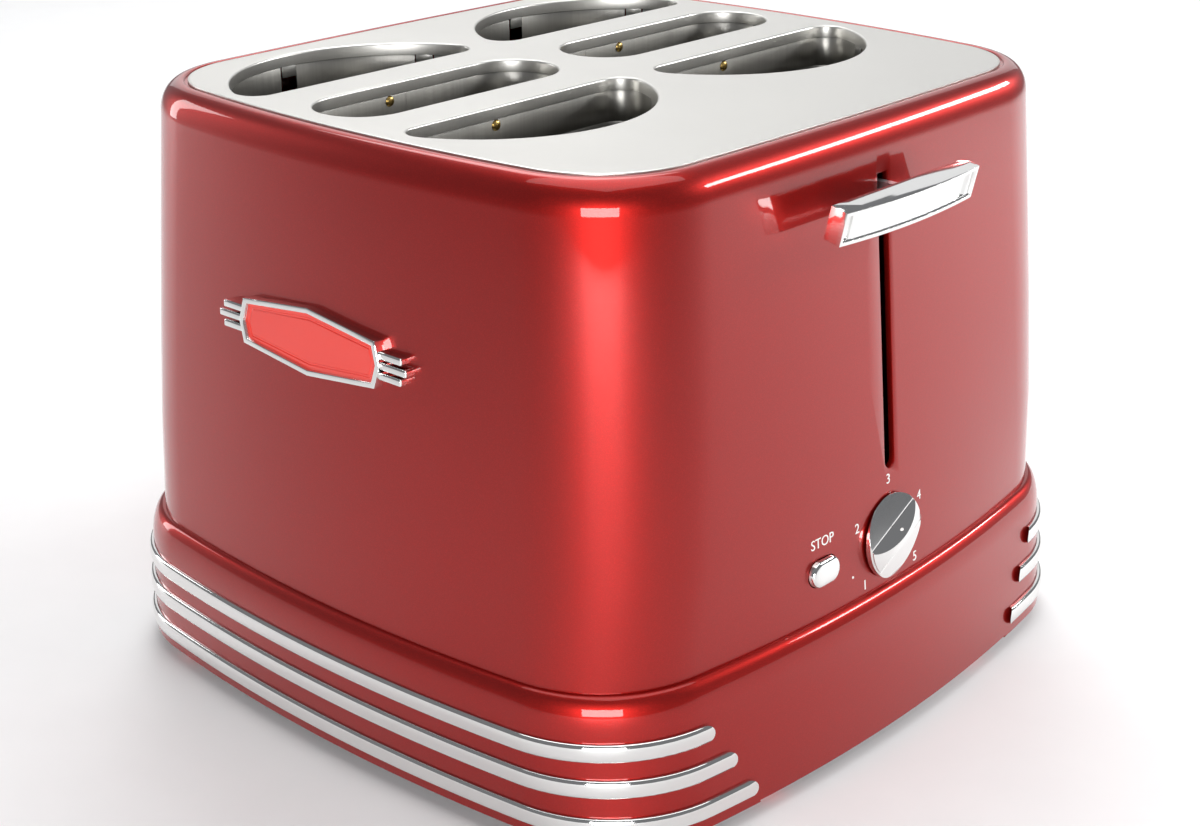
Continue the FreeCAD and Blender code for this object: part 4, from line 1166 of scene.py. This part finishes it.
def buildMarks():
    pieces = []
    for number, angle in marks["angles"].items():
        turn = math.radians(angle)
        pieces.append(printed(number, panel["knobY"] + marks["ring"] * math.cos(turn),
                              marks["ring"] * math.sin(turn)))
    pieces.append(printed("STOP", panel["stopY"], marks["stopZ"]))
    offX = -fallenBack(panelPlan, marks["offY"])
    pieces.append(cylinder(marks["offRadius"], 2 * marks["thick"],
                           (offX, marks["offY"], marks["offZ"]), 16, outTurn))
    for piece in pieces:
        piece.data.materials.clear()
    piece = together(pieces, "printedMarks")
    onPanel(piece)
    return piece


finished(buildMarks(), "base", "red_enamel", finish=printAndGlintWhite)
print("marks made")

feet = lengths(tip=6.5, round=1.4, flare=1.6, rise=4.95, rim=4.0)
feet |= {"roundShare": 0.85, "places": [(138.0, 66.0), (98.0, 138.0)]}


def buildFeet():
    flat, roundness = feet["tip"] - feet["round"], feet["round"]
    foot = newPiece("foot")
    trace((0, 0, 0), [
        ("go", (flat, 0, 0), 2),
        ("turn", (flat, 0, roundness), -math.pi / 2 * feet["roundShare"], 5, (0, 1, 0)),
        ("go", (feet["flare"], 0, feet["rise"]), 3)], closed=False)
    choose("VERT", lambda v: v.co.z > feet["rise"])
    drawnOut((-feet["rim"], 0, 0))
    spun(40, upAxis)
    capped()
    outward()
    made = []
    for x, y in feet["places"]:
        for sideX in (-1, 1):
            for sideY in (-1, 1):
                twin = copied(foot, "foot")
                placed(twin, (sideX * x * mm, sideY * y * mm, 0))
                made.append(twin)
    bpy.data.objects.remove(foot)
    return together(made, "redFeet")


finished(buildFeet(), "base", "red_feet", ["feet"], 40)

tray = lengths(half=69.9, low=9.2, high=22.2, wall=2.4, edge=0.3, notchHalf=20.0, notchHigh=14.7)


def buildTrayFront():
    low, high, wall, edge = tray["low"], tray["high"], tray["wall"], tray["edge"]
    levels = [(-wall, low), (-edge, low), (0, low + edge), (0, (low + high) / 2),
              (0, high - edge), (-edge, high), (-wall, high)]
    rings = [lambda out=out, z=z: skirtAt(z).grown(out).leftSide(z, tray["half"])
             for out, z in levels]
    front = bridged("trayFront", rings, loop=True)
    for side in (-1, 1):
        capped(lambda e: side * middle(e).y > 0)
    outward()
    carved(front, block((-far, -tray["notchHalf"], 0),
                        (-inside, tray["notchHalf"], tray["notchHigh"])))
    return front


finished(buildTrayFront(), "tray", "red_enamel", ["tray_front"])
print("feet and tray front made")

nothingSelected()
floorWidth = 14
bpy.ops.mesh.primitive_plane_add(size=floorWidth)
floor = bpy.context.object
floor.name = "floor"
floor.data.materials.append(floorPaint)

world = bpy.data.worlds.new("paleRoom")
bpy.context.scene.world = world
world.use_nodes = True
sky = world.node_tree.nodes["Background"].inputs
sky["Color"].default_value = (0.95, 0.96, 1.0, 1)
sky["Strength"].default_value = 0.22

# each soft box's place, what it faces, its width, height and power
softboxes = {
    "topBox": ((0.0, 0.1, 1.7), (0, 0, 0.2), 1.6, 1.6, 18),
    "backBox": ((-1.3, 1.45, 0.9), (0, 0, 0.25), 2.4, 1.1, 6),
    "farBox": ((-1.1, 0.9, 1.6), (-1.1, 1.0, 0), 1.2, 0.9, 14),
    "leftBox": ((-1.5, -0.5, 0.5), (0, 0, 0.12), 0.3, 0.9, 5),
    "rightBox": ((0.85, 1.25, 0.8), (0.6, 0.9, 0), 0.9, 0.22, 17),
    "nearBox": ((1.0, -1.12, 0.3), (0, 0, 0.12), 0.7, 0.4, 15),
}
for name, (place, target, width, height, power) in softboxes.items():
    lamp = bpy.data.lights.new(name, "AREA")
    lamp.shape = "RECTANGLE"
    lamp.size = width
    lamp.size_y = height
    lamp.energy = power
    holder = bpy.data.objects.new(name, lamp)
    bpy.context.scene.collection.objects.link(holder)
    holder.location = place
    holder.rotation_euler = (Vector(target) - Vector(place)).to_track_quat("-Z", "Y").to_euler()

eye = {"place": (0.51818, -0.57361, 0.40451), "yaw": 42.13, "pitch": 22.09, "roll": -0.29,
       "focal": 2011.75, "imageWidth": 1200, "sensor": 36.0, "clip": 0.02}
lens = bpy.data.cameras.new("camera")
lens.sensor_width = eye["sensor"]
lens.lens = eye["focal"] / eye["imageWidth"] * eye["sensor"]
lens.clip_start = eye["clip"]
camera = bpy.data.objects.new("camera", lens)
bpy.context.scene.collection.objects.link(camera)
turned = (Matrix.Rotation(math.radians(eye["yaw"]), 4, "Z")
          @ Matrix.Rotation(math.radians(90 - eye["pitch"]), 4, "X")
          @ Matrix.Rotation(math.radians(eye["roll"]), 4, "Z"))
camera.matrix_world = Matrix.Translation(eye["place"]) @ turned
bpy.context.scene.camera = camera
bpy.context.scene.view_settings.view_transform = "Standard"
print("floor, light and camera set")
